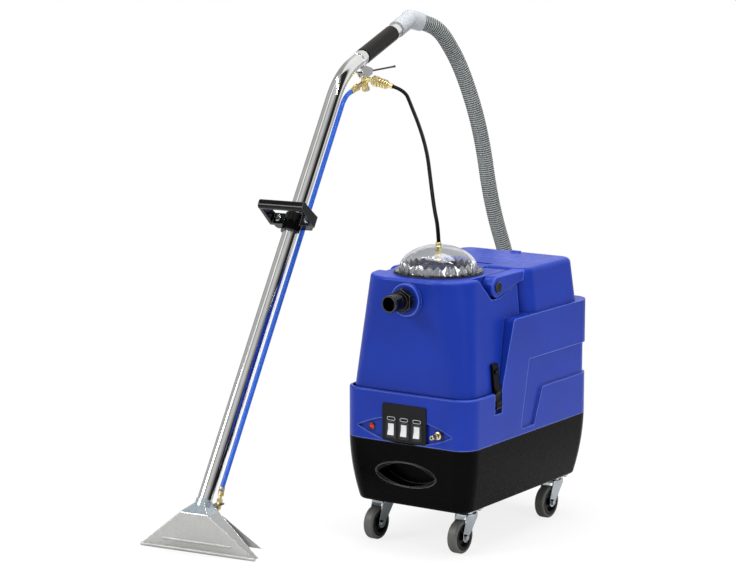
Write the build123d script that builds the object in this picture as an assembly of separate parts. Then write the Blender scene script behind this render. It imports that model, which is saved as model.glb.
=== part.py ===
from build123d import *
import os
from math import cos, pi, radians, sin, sqrt, tan

# Portable carpet extractor with its floor wand, in millimetres.
# Machine frame: floor at z = 0, machine centre at x = y = 0, front faces -Y, +X is its right side.
# Every exported piece is then shifted so that the middle of the whole footprint is the origin.

# ---------------------------------------------------------------- clearances
gap = 0.3                    # between separate pieces that only rest beside each other
turning_fit = 0.08           # radial clearance of a pin or shaft in its hole
slip_fit = 0.1               # radial clearance of a sleeve on its tube

# ---------------------------------------------------------------- base tub
body_width = 357.0
body_length = 577.0
body_corner = 47.0
seam_z = 260.0
tub_wall = 4.0
tub_belly_z = 184.0
tub_belly_inset = 6.0
tub_foot_inset = 22.0
tub_foot_round = 8.0
recess_width = 0.46 * body_width
recess_height = 56.0
recess_depth = 46.0
recess_z = 184.0
recess_wall = 3.0
exhaust_slots = 7
exhaust_slot_width = 6.0
exhaust_slot_height = 46.0
exhaust_pitch = 16.0

# ---------------------------------------------------------------- casters
wheel_diameter = 80.0
wheel_width = 25.0
hub_diameter = 52.0
axle_diameter = 8.0
kingpin_diameter = 10.0
caster_height = 104.0        # floor to the tub's underside
caster_trail = 29.0
caster_side = 0.3333 * body_width  # swivel axis from the centre plane
caster_front = body_length / 2 - 88.5  # swivel axis forward of the centre
caster_rear = body_length / 2 - 82.5  # swivel axis behind the centre
plate_length = 62.0
plate_width = 56.0
plate_thickness = 3.0
raceway_diameter = 46.0
raceway_height = 9.0
fork_thickness = 2.5
fork_play = 2.0              # between the tyre's side and a fork leg
caster_bolt_diameter = 6.0
caster_bolt_across = 46.0
caster_bolt_along = 40.0

# ---------------------------------------------------------------- body shell
body_wall = 9.0
rim_z = 381.0
rim_round = 5.0
seat_z = 366.0
shoulder_z = 546.0
lean_foot_y = -0.244 * body_length  # foot of the leaning front of the rear block
lean_top_y = -0.149 * body_length  # where the lean would meet the shoulder
shoulder_round = 14.0
relief_depth = 5.5
relief_top_z = 439.0
relief_bottom_z = 274.0
relief_front_top_y = -0.026 * body_length
relief_front_low_y = -0.09 * body_length
step_z = 362.0
step_front_top_y = 0.083 * body_length
step_front_low_y = 0.021 * body_length
relief_corner = 9.0
lens_width = 0.745 * body_width
lens_height = 64.0
lens_depth = 6.0
lens_z = 291.0
fill_hole_radius = 42.0
fill_hole_y = 0.291 * body_length

# ---------------------------------------------------------------- control plate
panel_width = 0.345 * body_width
panel_height = 90.0
panel_thickness = 2.0
panel_z = 308.5
switch_pitch = 36.0
switch_z = 291.0
switch_width = 17.6
switch_height = 31.0
switch_wall = 1.4
switch_flange = 3.0
switch_flange_thickness = 1.6
switch_depth = 22.0
rocker_tilt = 8.0
rocker_pivot_depth = 7.0
rocker_pin_diameter = 3.0
rocker_proud = 3.0
lamp_x = -0.266 * body_width
lamp_diameter = 12.0
lamp_proud = 5.0
nipple_x = 0.266 * body_width
nipple_z = 292.0
nipple_length = 36.0
nipple_bore = 6.0

# ---------------------------------------------------------------- recovery tank
tank_wall = 5.0
tank_play = 5.0              # between the tank's foot and the rim around it
tank_top_z = 651.0
tank_top_width = 0.79 * body_width
tank_top_front_y = 12.5 - body_length / 2
tank_top_corner = 80.0
tank_rear_y = -0.0347 * body_length
tank_edge_round = 7.0
tongue_width = 0.258 * body_width
tongue_rear_y = tank_rear_y + 52.0
tongue_foot_z = 550.0
boss_diameter = 78.0
boss_length = 12.0
boss_z = 604.0
inlet_bore = 34.0
inlet_thread_diameter = 44.0
inlet_hex = 52.0
inlet_hex_length = 15.0
inlet_collar_length = 5.0
barb_diameter = 42.0
barb_length = 48.0

# ---------------------------------------------------------------- dome
dome_y = -0.246 * body_length
dome_flange_diameter = 212.0
dome_flange_thickness = 4.0
dome_diameter = 188.0
dome_height = 59.0  # above its flange
dome_wall = 3.5
gasket_thickness = 3.0
gasket_overhang = 2.0
dome_mouth_diameter = 168.0
fitting_thread_diameter = 10.0
fitting_nut_diameter = 14.0
fitting_nut_height = 6.0
fitting_tail_length = 36.0
fitting_tail_diameter = 17.0

# ---------------------------------------------------------------- float
float_from_arm = 42.0        # the float's centre from the hood's right arm
float_y = -0.104 * body_length
float_diameter = 34.0
float_cage_wall = 2.5
float_cage_height = 84.0
float_travel = 24.0

# ---------------------------------------------------------------- hood and its arms
hood_wall = 5.0
hood_top_thickness = 9.0
hood_top_z = 653.0
hood_bottom_width = body_width - 15.0
hood_top_width = body_width - 40.0
hood_front_y = tank_rear_y + 14.0
hood_rear_y = body_length / 2 - 46.5
hood_rear_lean = 6.0
hood_corner = 37.0
hood_edge_round = 12.0
arm_inner_x = hood_top_width / 2 - 38.5
arm_thickness = 28.0
arm_pivot_y = -0.194 * body_length
arm_pivot_z = 624.0
arm_radius = 26.0
arm_rise = 14.0              # degrees, slope of the arm's lower edge
arm_edge_round = 4.0
arm_play = 2.0               # between an arm and the notch that it lies in
notch_front_top_y = arm_pivot_y - 80.0
hinge_pin_diameter = 16.0
hinge_cap_diameter = 26.0
hinge_cap_thickness = 3.0
hinge_seat_depth = 8.0

# ---------------------------------------------------------------- filler lid
lid_width = 0.672 * body_width
lid_rear_y = hood_rear_y - 22.0
lid_front_y = lid_rear_y - 106.0
lid_thickness = 5.0
lid_play = 1.0
lid_ledge = 9.0
lid_pin_length = 5.0
tab_width = 26.0
tab_height = 4.0

# ---------------------------------------------------------------- draw latches
latch_y = lean_foot_y - 14.0
latch_width = 25.0
latch_pivot_z = 347.0
latch_top_z = 449.0
latch_thickness = 7.0
latch_pin_diameter = 6.0
latch_eye_diameter = 15.0
latch_pocket_play = 4.0
latch_pocket_depth = 13.0
latch_pocket_foot = 330.0
keeper_z = 431.0
keeper_width = 14.0
keeper_height = 7.0

# ---------------------------------------------------------------- inside
motor_diameter = 144.0
motor_y = 0.222 * body_length
motor_fan_height = 52.0
motor_can_diameter = 96.0
motor_can_height = 74.0
motor_wall = 3.0
impeller_diameter = 122.0
impeller_height = 22.0
motor_shaft_diameter = 10.0
pump_x = -0.196 * body_width
pump_y = -0.156 * body_length
pump_head_width = 96.0
pump_head_length = 60.0
pump_head_height = 84.0
pump_motor_diameter = 78.0
pump_motor_length = 92.0
inlet_box_width = 52.0
inlet_box_height = 34.0
inlet_box_z = 330.0
inlet_box_proud = 6.0
inlet_box_wall = 3.0

# ---------------------------------------------------------------- wand, in its own frame
# Its x is across the head, y runs back from the head's front lip, z is up.
wand_x = -394.0
wand_y = -579.7
wand_yaw = 6.16
tube_diameter = 38.1
tube_wall = 1.2
tube_lean = 35.4             # from upright
tube_rise = 17.1             # of the handle part, from level
tube_foot_y = 24.0
tube_foot_z = 104.0
tube_lower_run = 1196.0
tube_upper_run = 359.0
tube_bend_radius = 200.0
head_width = 314.0
head_slot = 16.0
head_lip_height = 9.0
head_wall = 1.6
head_shoulder_width = 75.0
head_shoulder_y = -17.0
head_shoulder_z = 100.0
head_back_width = 66.0
head_back_y = 47.0
head_back_z = 92.0
neck_top_width = 19.0
neck_top_y = 16.0
neck_top_z = 121.0
neck_back_z = 104.0
rib_height = 2.0
rib_width = 7.0
rib_length = 190.0
shroud_thickness = 1.5
shroud_top_width = 58.0
shroud_bottom_width = 300.0
shroud_top_y = 59.0
shroud_top_z = 86.0
shroud_bottom_y = 45.0
shroud_bottom_z = 19.0
jet_y = 101.0
jet_z = 97.0
jet_tilt = 22.0              # from upright
jet_diameter = 13.0
jet_bracket_thickness = 2.5
jet_bracket_width = 22.0
line_diameter = 12.0
line_side = 0.0
sleeve_start = 124.0         # along the handle part, from the tube's corner
sleeve_length = tube_upper_run - 190.0
sleeve_diameter = 43.0
cuff_start = tube_upper_run - 38.0
cuff_bend = tube_upper_run + 41.0
cuff_wall = 3.9
cuff_big_diameter = 50.0
cuff_big_length = 37.0
cuff_yaw = 30.2
cuff_rise = -14.0
handle_at = 773.0  # along the tube, from its foot
handle_width = 125.0
handle_reach = 75.0
handle_bar_raise = 3.0
handle_bar_thickness = 20.0
handle_bar_height = 24.0
handle_side_thickness = 9.0
handle_ear_thickness = 9.0
collar_diameter = 50.0
collar_drop = 19.0          # how far the clamp's collar runs down the tube
clamp_depth = 17.0           # of the half behind the tube
clamp_width = 104.0
clamp_height = 30.0
clamp_bolt_across = 82.0
clamp_bolt_diameter = 6.0
clamp_bolt_head = 18.0
bracket_at = 104.0           # valve bracket, from the tube's corner
bracket_width = 16.0
bracket_thickness = 2.5
valve_behind = 128.0         # the valve from the tube's corner
valve_below = 29.0
valve_radius = 9.0
valve_port_length = 79.0     # to the open end of the blue line's ferrule
valve_port_tilt = 15.0
line_corner_from_port = 32.0
line_bend_radius = 70.0
ferrule_length = 27.0
lever_behind = 141.0         # the lever's pin from the tube's corner
lever_below = 4.0
lever_length = 154.0
lever_diameter = 5.0
lever_pin_diameter = 4.0
coupler_diameter = 25.0
coupler_socket = 6.0
coupler_out = 22.5           # from the valve's axis to the coupler
coupler_above = 5.0

# ---------------------------------------------------------------- hoses
vacuum_hose_diameter = 43.0
solution_hose_diameter = 9.5
coil_x = -350.0
coil_y = 525.0
coil_outer_radius = 258.0    # of the hose's centre line where the coil begins
coil_turns = 1.8
coil_pitch = 44.4
coil_start = 56.1            # degrees, where the hose comes down onto the coil
coil_last_radius = 130.0     # of the bend that leads into the far cuff
coil_last_turn = 60.0        # degrees
end_cuff_length = 96.0
end_cuff_diameter = 50.0
hose_socket = 12.0           # how far the vacuum hose runs inside its cuff
hose_lead = 15.0             # straight run outside the cuff before its first bend
# Corner points of each hose's route, rounded off where they turn.
vacuum_hose_route = [
    (-476, 589, 1170),
    (-464, 617, 1141),
    (-447, 676, 1053),
    (-418, 727, 886),
    (-408, 767, 674),
    (-377, 824, 488),
    (-380, 853, 270),
    (-380, 857, 110),
    (-307, 807, 21.5),
]
solution_hose_route = [
    (-371, 276, 1033),
    (-318, 224, 1001),
    (-225, 125, 955),
    (-142, 28, 908),
    (-80, -54, 857),
    (-32, -112, 797),
    (-2, -142, 760),
]

# ---------------------------------------------------------------- values that follow from the sizes
half_width = body_width / 2
half_length = body_length / 2
front_y = -half_length
wheel_radius = wheel_diameter / 2
tank_foot_width = body_width - 2 * (tank_play + rim_round + gap)
tank_foot_front_y = front_y + tank_play + rim_round + gap
tank_foot_corner = body_corner - tank_play
tank_height = tank_top_z - seat_z
tank_side_slope = (tank_foot_width - tank_top_width) / 2 / tank_height
arm_outer_x = arm_inner_x + arm_thickness
float_x = arm_inner_x - float_from_arm
dome_z = tank_top_z + gasket_thickness
dome_flange_top_z = dome_z + dome_flange_thickness
dome_top_z = dome_flange_top_z + dome_height
lean = radians(tube_lean)
rise = radians(tube_rise)
tube_radius = tube_diameter / 2
tube_foot = Vector(0, tube_foot_y, tube_foot_z)
tube_up = Vector(0, sin(lean), cos(lean))
tube_behind = Vector(0, cos(lean), -sin(lean))
tube_corner = tube_foot + tube_up * tube_lower_run
handle_out = Vector(0, cos(rise), sin(rise))
tube_end = tube_corner + handle_out * tube_upper_run
jet_up = Vector(0, sin(radians(jet_tilt)), cos(radians(jet_tilt)))
valve_y = tube_corner.Y + valve_behind
valve_z = tube_corner.Z - valve_below
lever_pivot_y = tube_corner.Y + lever_behind
lever_pivot_z = tube_corner.Z - lever_below
cuff_turn = tube_corner + handle_out * cuff_bend
cuff_out = Vector(
    sin(radians(cuff_yaw)) * cos(radians(cuff_rise)),
    cos(radians(cuff_yaw)) * cos(radians(cuff_rise)),
    sin(radians(cuff_rise)),
)
cuff_end = cuff_turn + cuff_out * cuff_big_length
wand_place = Location((wand_x, wand_y, 0), (0, 0, wand_yaw))


# ---------------------------------------------------------------- small shapes
def block(x, y, z):
    """A box between two values on each axis, each given as a pair."""
    size = (x[1] - x[0], y[1] - y[0], z[1] - z[0])
    middle = ((x[0] + x[1]) / 2, (y[0] + y[1]) / 2, (z[0] + z[1]) / 2)
    return Pos(*middle) * Box(*size)


def rod(start, end, radius):
    """A round bar from one point to another."""
    start = Vector(*start)
    along = Vector(*end) - start
    upright = (Align.CENTER, Align.CENTER, Align.MIN)
    return Plane(origin=start, z_dir=along) * Cylinder(radius, along.length, align=upright)


def pipe(start, end, outer, inner):
    """A straight round tube from one point to another."""
    return rod(start, end, outer) - rod(start, end, inner)


def hexagon_bar(start, end, across_flats):
    """A hexagonal bar from one point to another."""
    start = Vector(*start)
    along = Vector(*end) - start
    face = RegularPolygon(across_flats / 2, 6, major_radius=False)
    return extrude(Plane(origin=start, z_dir=along) * face, along.length)


def turned(points, place=Location()):
    """A solid of revolution about the place's z axis, from (radius, height) points."""
    face = Plane.XZ * make_face(Polyline(*points, close=True))
    return place * revolve(face, Axis.Z)


def side_shape(points, x):
    """A closed (y, z) outline carried across between two x values."""
    face = make_face(Polyline(*points, close=True))
    return extrude(Plane.YZ.offset(x[0]) * face, x[1] - x[0])


def rounded_section(width, y_front, y_rear, corner, z):
    """A level rectangle with round corners."""
    face = RectangleRounded(width, y_rear - y_front, corner)
    return Pos(0, (y_front + y_rear) / 2, z) * face


def cross_section(front, back):
    """A four-sided face from a front and a back edge, each (half width, y, z)."""
    points = [
        (-front[0], front[1], front[2]),
        (front[0], front[1], front[2]),
        (back[0], back[1], back[2]),
        (-back[0], back[1], back[2]),
    ]
    return make_face(Polyline(*points, close=True))


def group(shapes):
    """Separate solids held together as one piece."""
    return Compound([solid for shape in shapes for solid in shape.solids()])


def mirrored(shape):
    """The same shape on the machine's other side."""
    return shape.mirror(Plane.YZ)


# ---------------------------------------------------------------- base tub
def tub_block(inset, z_low, z_high):
    """The tub's bulging outside, moved in by inset, between two heights."""
    def section(more, z):
        side = inset + more
        corner = body_corner - side / 2
        return rounded_section(body_width - 2 * side, front_y + side, half_length - side, corner, z)

    foot = section(tub_foot_inset, z_low)
    belly = section(tub_belly_inset, tub_belly_z)
    top = section(0, z_high)
    return loft([foot, belly, top])


def hand_recess(grow, reach):
    """The lens-shaped hand recess, widened by grow, running reach back from the front."""
    half = recess_width / 2 + grow
    high = recess_height / 2 + grow
    upper = ThreePointArc((-half, 0), (0, high), (half, 0))
    lower = ThreePointArc((half, 0), (0, -high), (-half, 0))
    face = make_face([upper, lower])
    start = Plane(origin=(0, front_y - 1, recess_z), x_dir=(1, 0, 0), z_dir=(0, 1, 0))
    return extrude(start * face, reach + 1)


def exhaust_openings():
    """Upright slots low on the tub's back."""
    slots = []
    first = -(exhaust_slots - 1) / 2 * exhaust_pitch
    for index in range(exhaust_slots):
        x = first + index * exhaust_pitch
        across = (x - exhaust_slot_width / 2, x + exhaust_slot_width / 2)
        along = (half_length - 4 * tub_foot_inset, half_length + 1)
        tall = (tub_belly_z - exhaust_slot_height / 2, tub_belly_z + exhaust_slot_height / 2)
        slots.append(block(across, along, tall))
    return slots


def make_base_tub():
    outside = tub_block(0, caster_height, seam_z)
    outside = fillet(outside.faces().sort_by(Axis.Z)[0].edges(), tub_foot_round)
    inside = tub_block(tub_wall, caster_height + tub_wall, seam_z + gap)
    tub = outside - inside
    tub += hand_recess(recess_wall, recess_depth + recess_wall) & outside
    tub -= hand_recess(0, recess_depth)
    for slot in exhaust_openings():
        tub -= slot
    for place in caster_places():
        for bolt in bolt_spots():
            tub -= place * Pos(*bolt, caster_height) * Cylinder(
                caster_bolt_diameter / 2 + slip_fit, 3 * tub_wall
            )
    return tub


# ---------------------------------------------------------------- casters
def caster_places():
    """The four swivel axes: front left, front right, rear left, rear right."""
    spots = []
    for y in (-caster_front, caster_rear):
        for x in (-caster_side, caster_side):
            spots.append(Pos(x, y, 0))
    return spots


def bolt_spots():
    """The plate's four bolt holes about a swivel axis."""
    x = caster_bolt_across / 2
    y = caster_bolt_along / 2
    return [(-x, -y), (x, -y), (x, y), (-x, y)]


def caster_plate():
    low = caster_height - plate_thickness - raceway_height
    plate = extrude(Pos(0, 0, caster_height) * RectangleRounded(plate_length, plate_width, 6),
                    -plate_thickness)
    under = caster_height - plate_thickness
    raceway = turned([(0, low), (raceway_diameter / 2 - 4, low), (raceway_diameter / 2, under), (0, under)])
    plate += raceway
    plate -= Pos(0, 0, low) * Cylinder(kingpin_diameter / 2 + turning_fit, 4 * raceway_height)
    for bolt in bolt_spots():
        plate -= Pos(*bolt, under) * Cylinder(caster_bolt_diameter / 2 + slip_fit, 3 * plate_thickness)
    return plate


def caster_bolt():
    """Head under the plate, shank through plate and tub floor, nut inside the tub."""
    head_high = caster_height - plate_thickness - gap
    nut_low = caster_height + tub_wall + gap
    shank_radius = caster_bolt_diameter / 2
    shank = rod((0, 0, head_high), (0, 0, nut_low + caster_bolt_diameter), shank_radius)
    head = hexagon_bar((0, 0, head_high - 0.7 * caster_bolt_diameter), (0, 0, head_high),
                       1.6 * caster_bolt_diameter)
    nut = hexagon_bar((0, 0, nut_low), (0, 0, nut_low + 0.8 * caster_bolt_diameter),
                      1.6 * caster_bolt_diameter)
    return shank + head + nut


def caster_fork():
    """Crown with its kingpin, and two legs that carry the axle ahead of the swivel axis."""
    crown_high = caster_height - plate_thickness - raceway_height - gap
    inner = wheel_width / 2 + fork_play
    outer = inner + fork_thickness
    crown_radius = raceway_diameter / 2
    crown = Pos(0, 0, crown_high) * extrude(RectangleRounded(2 * outer, 2 * crown_radius, 5),
                                            -2 * fork_thickness)
    crown += Pos(0, 0, crown_high) * extrude(Circle(crown_radius), -fork_thickness)
    pin_top = caster_height - gap
    crown += rod((0, 0, crown_high - fork_thickness), (0, 0, pin_top), kingpin_diameter / 2)
    outline = [
        (-crown_radius, crown_high),
        (crown_radius, crown_high),
        (crown_radius, crown_high - 4 * fork_thickness),
        (-caster_trail + axle_diameter, wheel_radius - axle_diameter),
        (-caster_trail - axle_diameter, wheel_radius - axle_diameter),
        (-caster_trail - 1.4 * axle_diameter, wheel_radius + axle_diameter),
    ]
    boss = (0, -caster_trail, wheel_radius)
    for side in (-1, 1):
        x = sorted((side * inner, side * outer))
        leg = side_shape(outline, x)
        leg += rod((x[0], *boss[1:]), (x[1], *boss[1:]), 1.5 * axle_diameter)
        crown += leg
    hole = rod((-outer - 1, *boss[1:]), (outer + 1, *boss[1:]), axle_diameter / 2 + turning_fit)
    return crown - hole


def caster_axle():
    outer = wheel_width / 2 + fork_play + fork_thickness + gap
    y = -caster_trail
    z = wheel_radius
    head = 0.6 * axle_diameter
    bolt = rod((-outer, y, z), (outer, y, z), axle_diameter / 2)
    bolt += hexagon_bar((outer, y, z), (outer + head, y, z), 1.55 * axle_diameter)
    bolt += hexagon_bar((-outer - head, y, z), (-outer, y, z), 1.55 * axle_diameter)
    return bolt


def caster_hub():
    half = wheel_width / 2
    boss_half = half + fork_play - gap
    boss_radius = axle_diameter
    rim_radius = hub_diameter / 2
    profile = [
        (axle_diameter / 2 + turning_fit, -boss_half),
        (boss_radius, -boss_half),
        (boss_radius + 1, -half / 3),
        (rim_radius - 4, -half / 3),
        (rim_radius - 3, -half + 1),
        (rim_radius, -half + 1),
        (rim_radius, half - 1),
        (rim_radius - 3, half - 1),
        (rim_radius - 4, half / 3),
        (boss_radius + 1, half / 3),
        (boss_radius, boss_half),
        (axle_diameter / 2 + turning_fit, boss_half),
    ]
    place = Location((0, -caster_trail, wheel_radius), (0, 90, 0))
    return turned(profile, place)


def caster_tyre():
    ring = Cylinder(wheel_radius, wheel_width)
    ring = fillet(ring.edges(), wheel_width / 5)
    ring -= Cylinder(hub_diameter / 2 + slip_fit, 2 * wheel_width)
    return Location((0, -caster_trail, wheel_radius), (0, 90, 0)) * ring


# ---------------------------------------------------------------- body shell
def lean_y(z):
    """Where the leaning front of the rear block is, at a height."""
    share = (z - rim_z) / (shoulder_z - rim_z)
    return lean_foot_y + share * (lean_top_y - lean_foot_y)


def body_profile(front, floor, top, step_back):
    """Side outline of the shell: a low front and the rear block behind the lean."""
    rear = half_length + 1
    return [
        (front_y - 1, floor),
        (rear, floor),
        (rear, top),
        (lean_y(top) + step_back, top),
        (lean_y(front) + step_back, front),
        (front_y - 1, front),
    ]


def relief_outline():
    """The recessed panel on each side: a tall leg and a run to the rear, as (y, z)."""
    rear = half_length + 1
    return [
        (relief_front_low_y, relief_bottom_z),
        (step_front_low_y, relief_bottom_z),
        (step_front_top_y, step_z),
        (rear, step_z),
        (rear, relief_top_z),
        (relief_front_top_y, relief_top_z),
    ]


def side_relief():
    """The cut that sinks the panel into the shell's right side and round its rear corner."""
    face = make_face(Polyline(*relief_outline(), close=True))
    inner_corners = face.vertices().filter_by(lambda v: v.Y < rim_z and v.X < half_length)
    face = fillet(inner_corners, relief_corner)
    outline = extrude(Plane.YZ * face, half_width + 1)
    plan = rounded_section(body_width, front_y, half_length, body_corner, seam_z)
    core = rounded_section(
        body_width - 2 * relief_depth, front_y + relief_depth, half_length - relief_depth,
        body_corner - relief_depth, seam_z,
    )
    skin = extrude(plan, shoulder_z - seam_z) - extrude(core, shoulder_z - seam_z)
    half = block((body_width / 6, body_width), (-body_length, body_length), (seam_z, shoulder_z))
    return skin & outline & half


def front_lens():
    """The shallow lens around the control plate."""
    half = lens_width / 2
    high = lens_height / 2
    upper = ThreePointArc((-half, 0), (0, high), (half, 0))
    lower = ThreePointArc((half, 0), (0, -high), (-half, 0))
    start = Plane(origin=(0, front_y - 1, lens_z), x_dir=(1, 0, 0), z_dir=(0, 1, 0))
    return extrude(start * make_face([upper, lower]), lens_depth + 1)


def switch_places():
    """The three switches' centres on the panel's front."""
    places = []
    for index in range(3):
        places.append(((index - 1) * switch_pitch, switch_z))
    return places


def latch_pocket():
    """Pocket for the right latch, in the rim below the tank's side."""
    half = latch_width / 2 + latch_pocket_play
    y = (latch_y - half, latch_y + half)
    return block((half_width - latch_pocket_depth, half_width + 1), y, (latch_pocket_foot, rim_z + 1))


def latch_pin_line(grow):
    """The latch pin's place, lengthened by grow at both ends."""
    reach = latch_width / 2 + latch_pocket_play + grow
    x = half_width - latch_pocket_depth + latch_eye_diameter / 2 + gap
    return (x, latch_y - reach, latch_pivot_z), (x, latch_y + reach, latch_pivot_z)


def seat_room():
    """The pocket that the recovery tank's foot stands in."""
    width = tank_foot_width + 2 * tank_play
    front = tank_foot_front_y - tank_play
    plan = rounded_section(width, front, 0, tank_foot_corner + tank_play, seat_z)
    outline = [
        (front_y - 1, seat_z - 1),
        (lean_y(seat_z), seat_z - 1),
        (lean_y(seat_z), seat_z),
        (lean_y(rim_z), rim_z),
        (lean_y(rim_z), rim_z + 1),
        (front_y - 1, rim_z + 1),
    ]
    return extrude(plan, rim_z + 1 - seat_z) & side_shape(outline, (-body_width, body_width))


def switch_bay():
    """Room for the switches behind the shell's front wall, ahead of the water."""
    x = half_width - body_corner
    rear = front_y + body_wall + 3 * switch_depth
    return block((-x, x), (front_y + body_wall, rear), (seam_z, seat_z - body_wall))


def water_room():
    """The solution tank's inside, kept clear of the switches and of the latch pockets."""
    floor = seam_z + 3 * body_wall
    front = front_y + 2 * body_wall + 3 * switch_depth
    width = body_width - 2 * body_wall
    plan = rounded_section(width, front, half_length - body_wall, body_corner - body_wall, floor)
    outline = body_profile(seat_z - body_wall, floor, shoulder_z - body_wall, body_wall)
    room = extrude(plan, shoulder_z - floor) & side_shape(outline, (-body_width, body_width))
    x = half_width - latch_pocket_depth - tub_wall
    half = latch_width / 2 + latch_pocket_play + 3 * latch_pin_diameter
    for side in (-1, 1):
        ends = sorted((side * x, side * body_width))
        room -= block(ends, (latch_y - half, latch_y + half), (seam_z, seat_z))
    return room


def front_wall_hole(x, z, radius):
    return rod((x, front_y - 1, z), (x, front_y + 2 * body_wall, z), radius)


def outer_shell():
    """The shell's outside with its rounded crest, shoulder and rim."""
    plan = rounded_section(body_width, front_y, half_length, body_corner, seam_z + gap)
    shell = extrude(plan, shoulder_z - seam_z - gap)
    shell &= side_shape(body_profile(rim_z, seam_z, shoulder_z, 0), (-body_width, body_width))
    crest = shell.edges().filter_by(Axis.X).sort_by(lambda e: e.center().Z - e.center().Y / 1000)
    crest = [e for e in crest if abs(e.center().Z - shoulder_z) < 1 and e.center().Y < 0]
    shell = fillet(crest, shoulder_round)
    rim = [e for e in shell.edges() if abs(e.center().Z - rim_z) < 0.01 and e.center().Y < lean_foot_y - 1]
    return fillet(rim, rim_round - gap)


def make_body_shell():
    shell = outer_shell()
    shell -= seat_room()
    bay = rounded_section(
        body_width - 2 * body_wall, front_y + body_wall, half_length - body_wall,
        body_corner - body_wall, seam_z,
    )
    shell -= extrude(bay, 2 * body_wall)
    shell -= switch_bay()
    shell -= water_room()
    shell -= Pos(0, fill_hole_y, shoulder_z) * Cylinder(fill_hole_radius, 3 * body_wall)
    pin_hole = rod(*latch_pin_line(latch_pin_diameter), latch_pin_diameter / 2 + slip_fit)
    for cut in (side_relief(), latch_pocket(), pin_hole):
        shell -= cut
        shell -= mirrored(cut)
    shell -= front_lens()
    across = switch_width / 2 + switch_wall + gap
    tall = switch_height / 2 + switch_wall + gap
    for x, z in switch_places():
        depth = (front_y - 1, front_y + 3 * body_wall)
        shell -= block((x - across, x + across), depth, (z - tall, z + tall))
    shell -= front_wall_hole(lamp_x, lens_z, lamp_diameter / 4 + slip_fit)
    shell -= front_wall_hole(nipple_x, nipple_z, nipple_bore + slip_fit)
    half = inlet_box_width / 2 - inlet_box_wall + gap
    high = inlet_box_height / 2 - inlet_box_wall + gap
    depth = (half_length - 2 * body_wall, half_length + 1)
    shell -= block((-half, half), depth, (inlet_box_z - high, inlet_box_z + high))
    return shell


# ---------------------------------------------------------------- control panel
def make_control_plate():
    rear = front_y - gap
    face = Plane(origin=(0, rear, panel_z), x_dir=(1, 0, 0), z_dir=(0, -1, 0))
    plate = extrude(face * RectangleRounded(panel_width, panel_height, 6), panel_thickness)
    front_edges = plate.faces().sort_by(Axis.Y)[0].edges()
    plate = chamfer(front_edges, panel_thickness / 4)
    across = switch_width / 2 + switch_wall + slip_fit
    tall = switch_height / 2 + switch_wall + slip_fit
    for x, z in switch_places():
        plate -= block((x - across, x + across), (rear - 5, rear + 5), (z - tall, z + tall))
    return plate


def switch_frame():
    """A switch's flanged box, about the centre of its opening on the plate's front."""
    inside_x = switch_width / 2
    inside_z = switch_height / 2
    box_x = inside_x + switch_wall
    box_z = inside_z + switch_wall
    flange_x = box_x + switch_flange
    flange_z = box_z + switch_flange
    front = -switch_flange_thickness - gap
    flange = block((-flange_x, flange_x), (front, -gap), (-flange_z, flange_z))
    flange = fillet(flange.edges().filter_by(Axis.Y), 2)
    flange = chamfer(flange.faces().sort_by(Axis.Y)[0].edges(), switch_flange_thickness / 3)
    box = block((-box_x, box_x), (-gap, switch_depth), (-box_z, box_z))
    hollow = block((-inside_x, inside_x), (front - 1, switch_depth - switch_wall), (-inside_z, inside_z))
    pivot = rod((-box_x - 1, rocker_pivot_depth, 0), (box_x + 1, rocker_pivot_depth, 0),
                rocker_pin_diameter / 2 + turning_fit)
    return flange + box - hollow - pivot


def rocker():
    """A rocker about the centre of its opening, tipped to its resting side."""
    reach = switch_width / 2 - gap
    tip = switch_height / 2 - rocker_pivot_depth / 5
    middle = -rocker_pivot_depth
    end = middle - tip * tan(radians(rocker_tilt))
    outline = [
        (middle, 0),
        (end, tip),
        (rocker_pivot_depth / 2, tip - 2),
        (rocker_pivot_depth / 2, 2 - tip),
        (end, -tip),
    ]
    body = side_shape(outline, (-reach, reach))
    body += rod((-reach - switch_wall, 0, 0), (reach + switch_wall, 0, 0), rocker_pin_diameter / 2)
    return Pos(0, rocker_pivot_depth, 0) * Rot(-rocker_tilt, 0, 0) * body


def panel_front(x, z):
    return Pos(x, front_y - gap - panel_thickness, z)


def make_pilot_lamp():
    radius = lamp_diameter / 2
    stem = lamp_diameter / 4
    profile = [
        (0, -2 * body_wall),
        (stem, -2 * body_wall),
        (stem, gap),
        (radius, gap),
        (radius, gap + lamp_proud / 3),
        (0.8 * radius, gap + lamp_proud / 2),
        (0.5 * radius, gap + 0.9 * lamp_proud),
        (0, gap + lamp_proud),
    ]
    place = Location((lamp_x, front_y + lens_depth, lens_z), (90, 0, 0))
    return turned(profile, place)


def make_solution_nipple():
    bore = nipple_bore / 2
    stem = nipple_bore
    end = nipple_length
    profile = [
        (bore, -2 * body_wall),
        (stem, -2 * body_wall),
        (stem, gap),
        (1.5 * stem, gap),
        (1.5 * stem, 0.25 * end),
        (1.1 * stem, 0.28 * end),
        (1.1 * stem, 0.5 * end),
        (0.8 * stem, 0.56 * end),
        (0.8 * stem, 0.68 * end),
        (stem, 0.74 * end),
        (stem, 0.92 * end),
        (0.8 * stem, end),
        (bore, end),
    ]
    place = Location((nipple_x, front_y + lens_depth, nipple_z), (90, 0, 0))
    return turned(profile, place)


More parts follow.
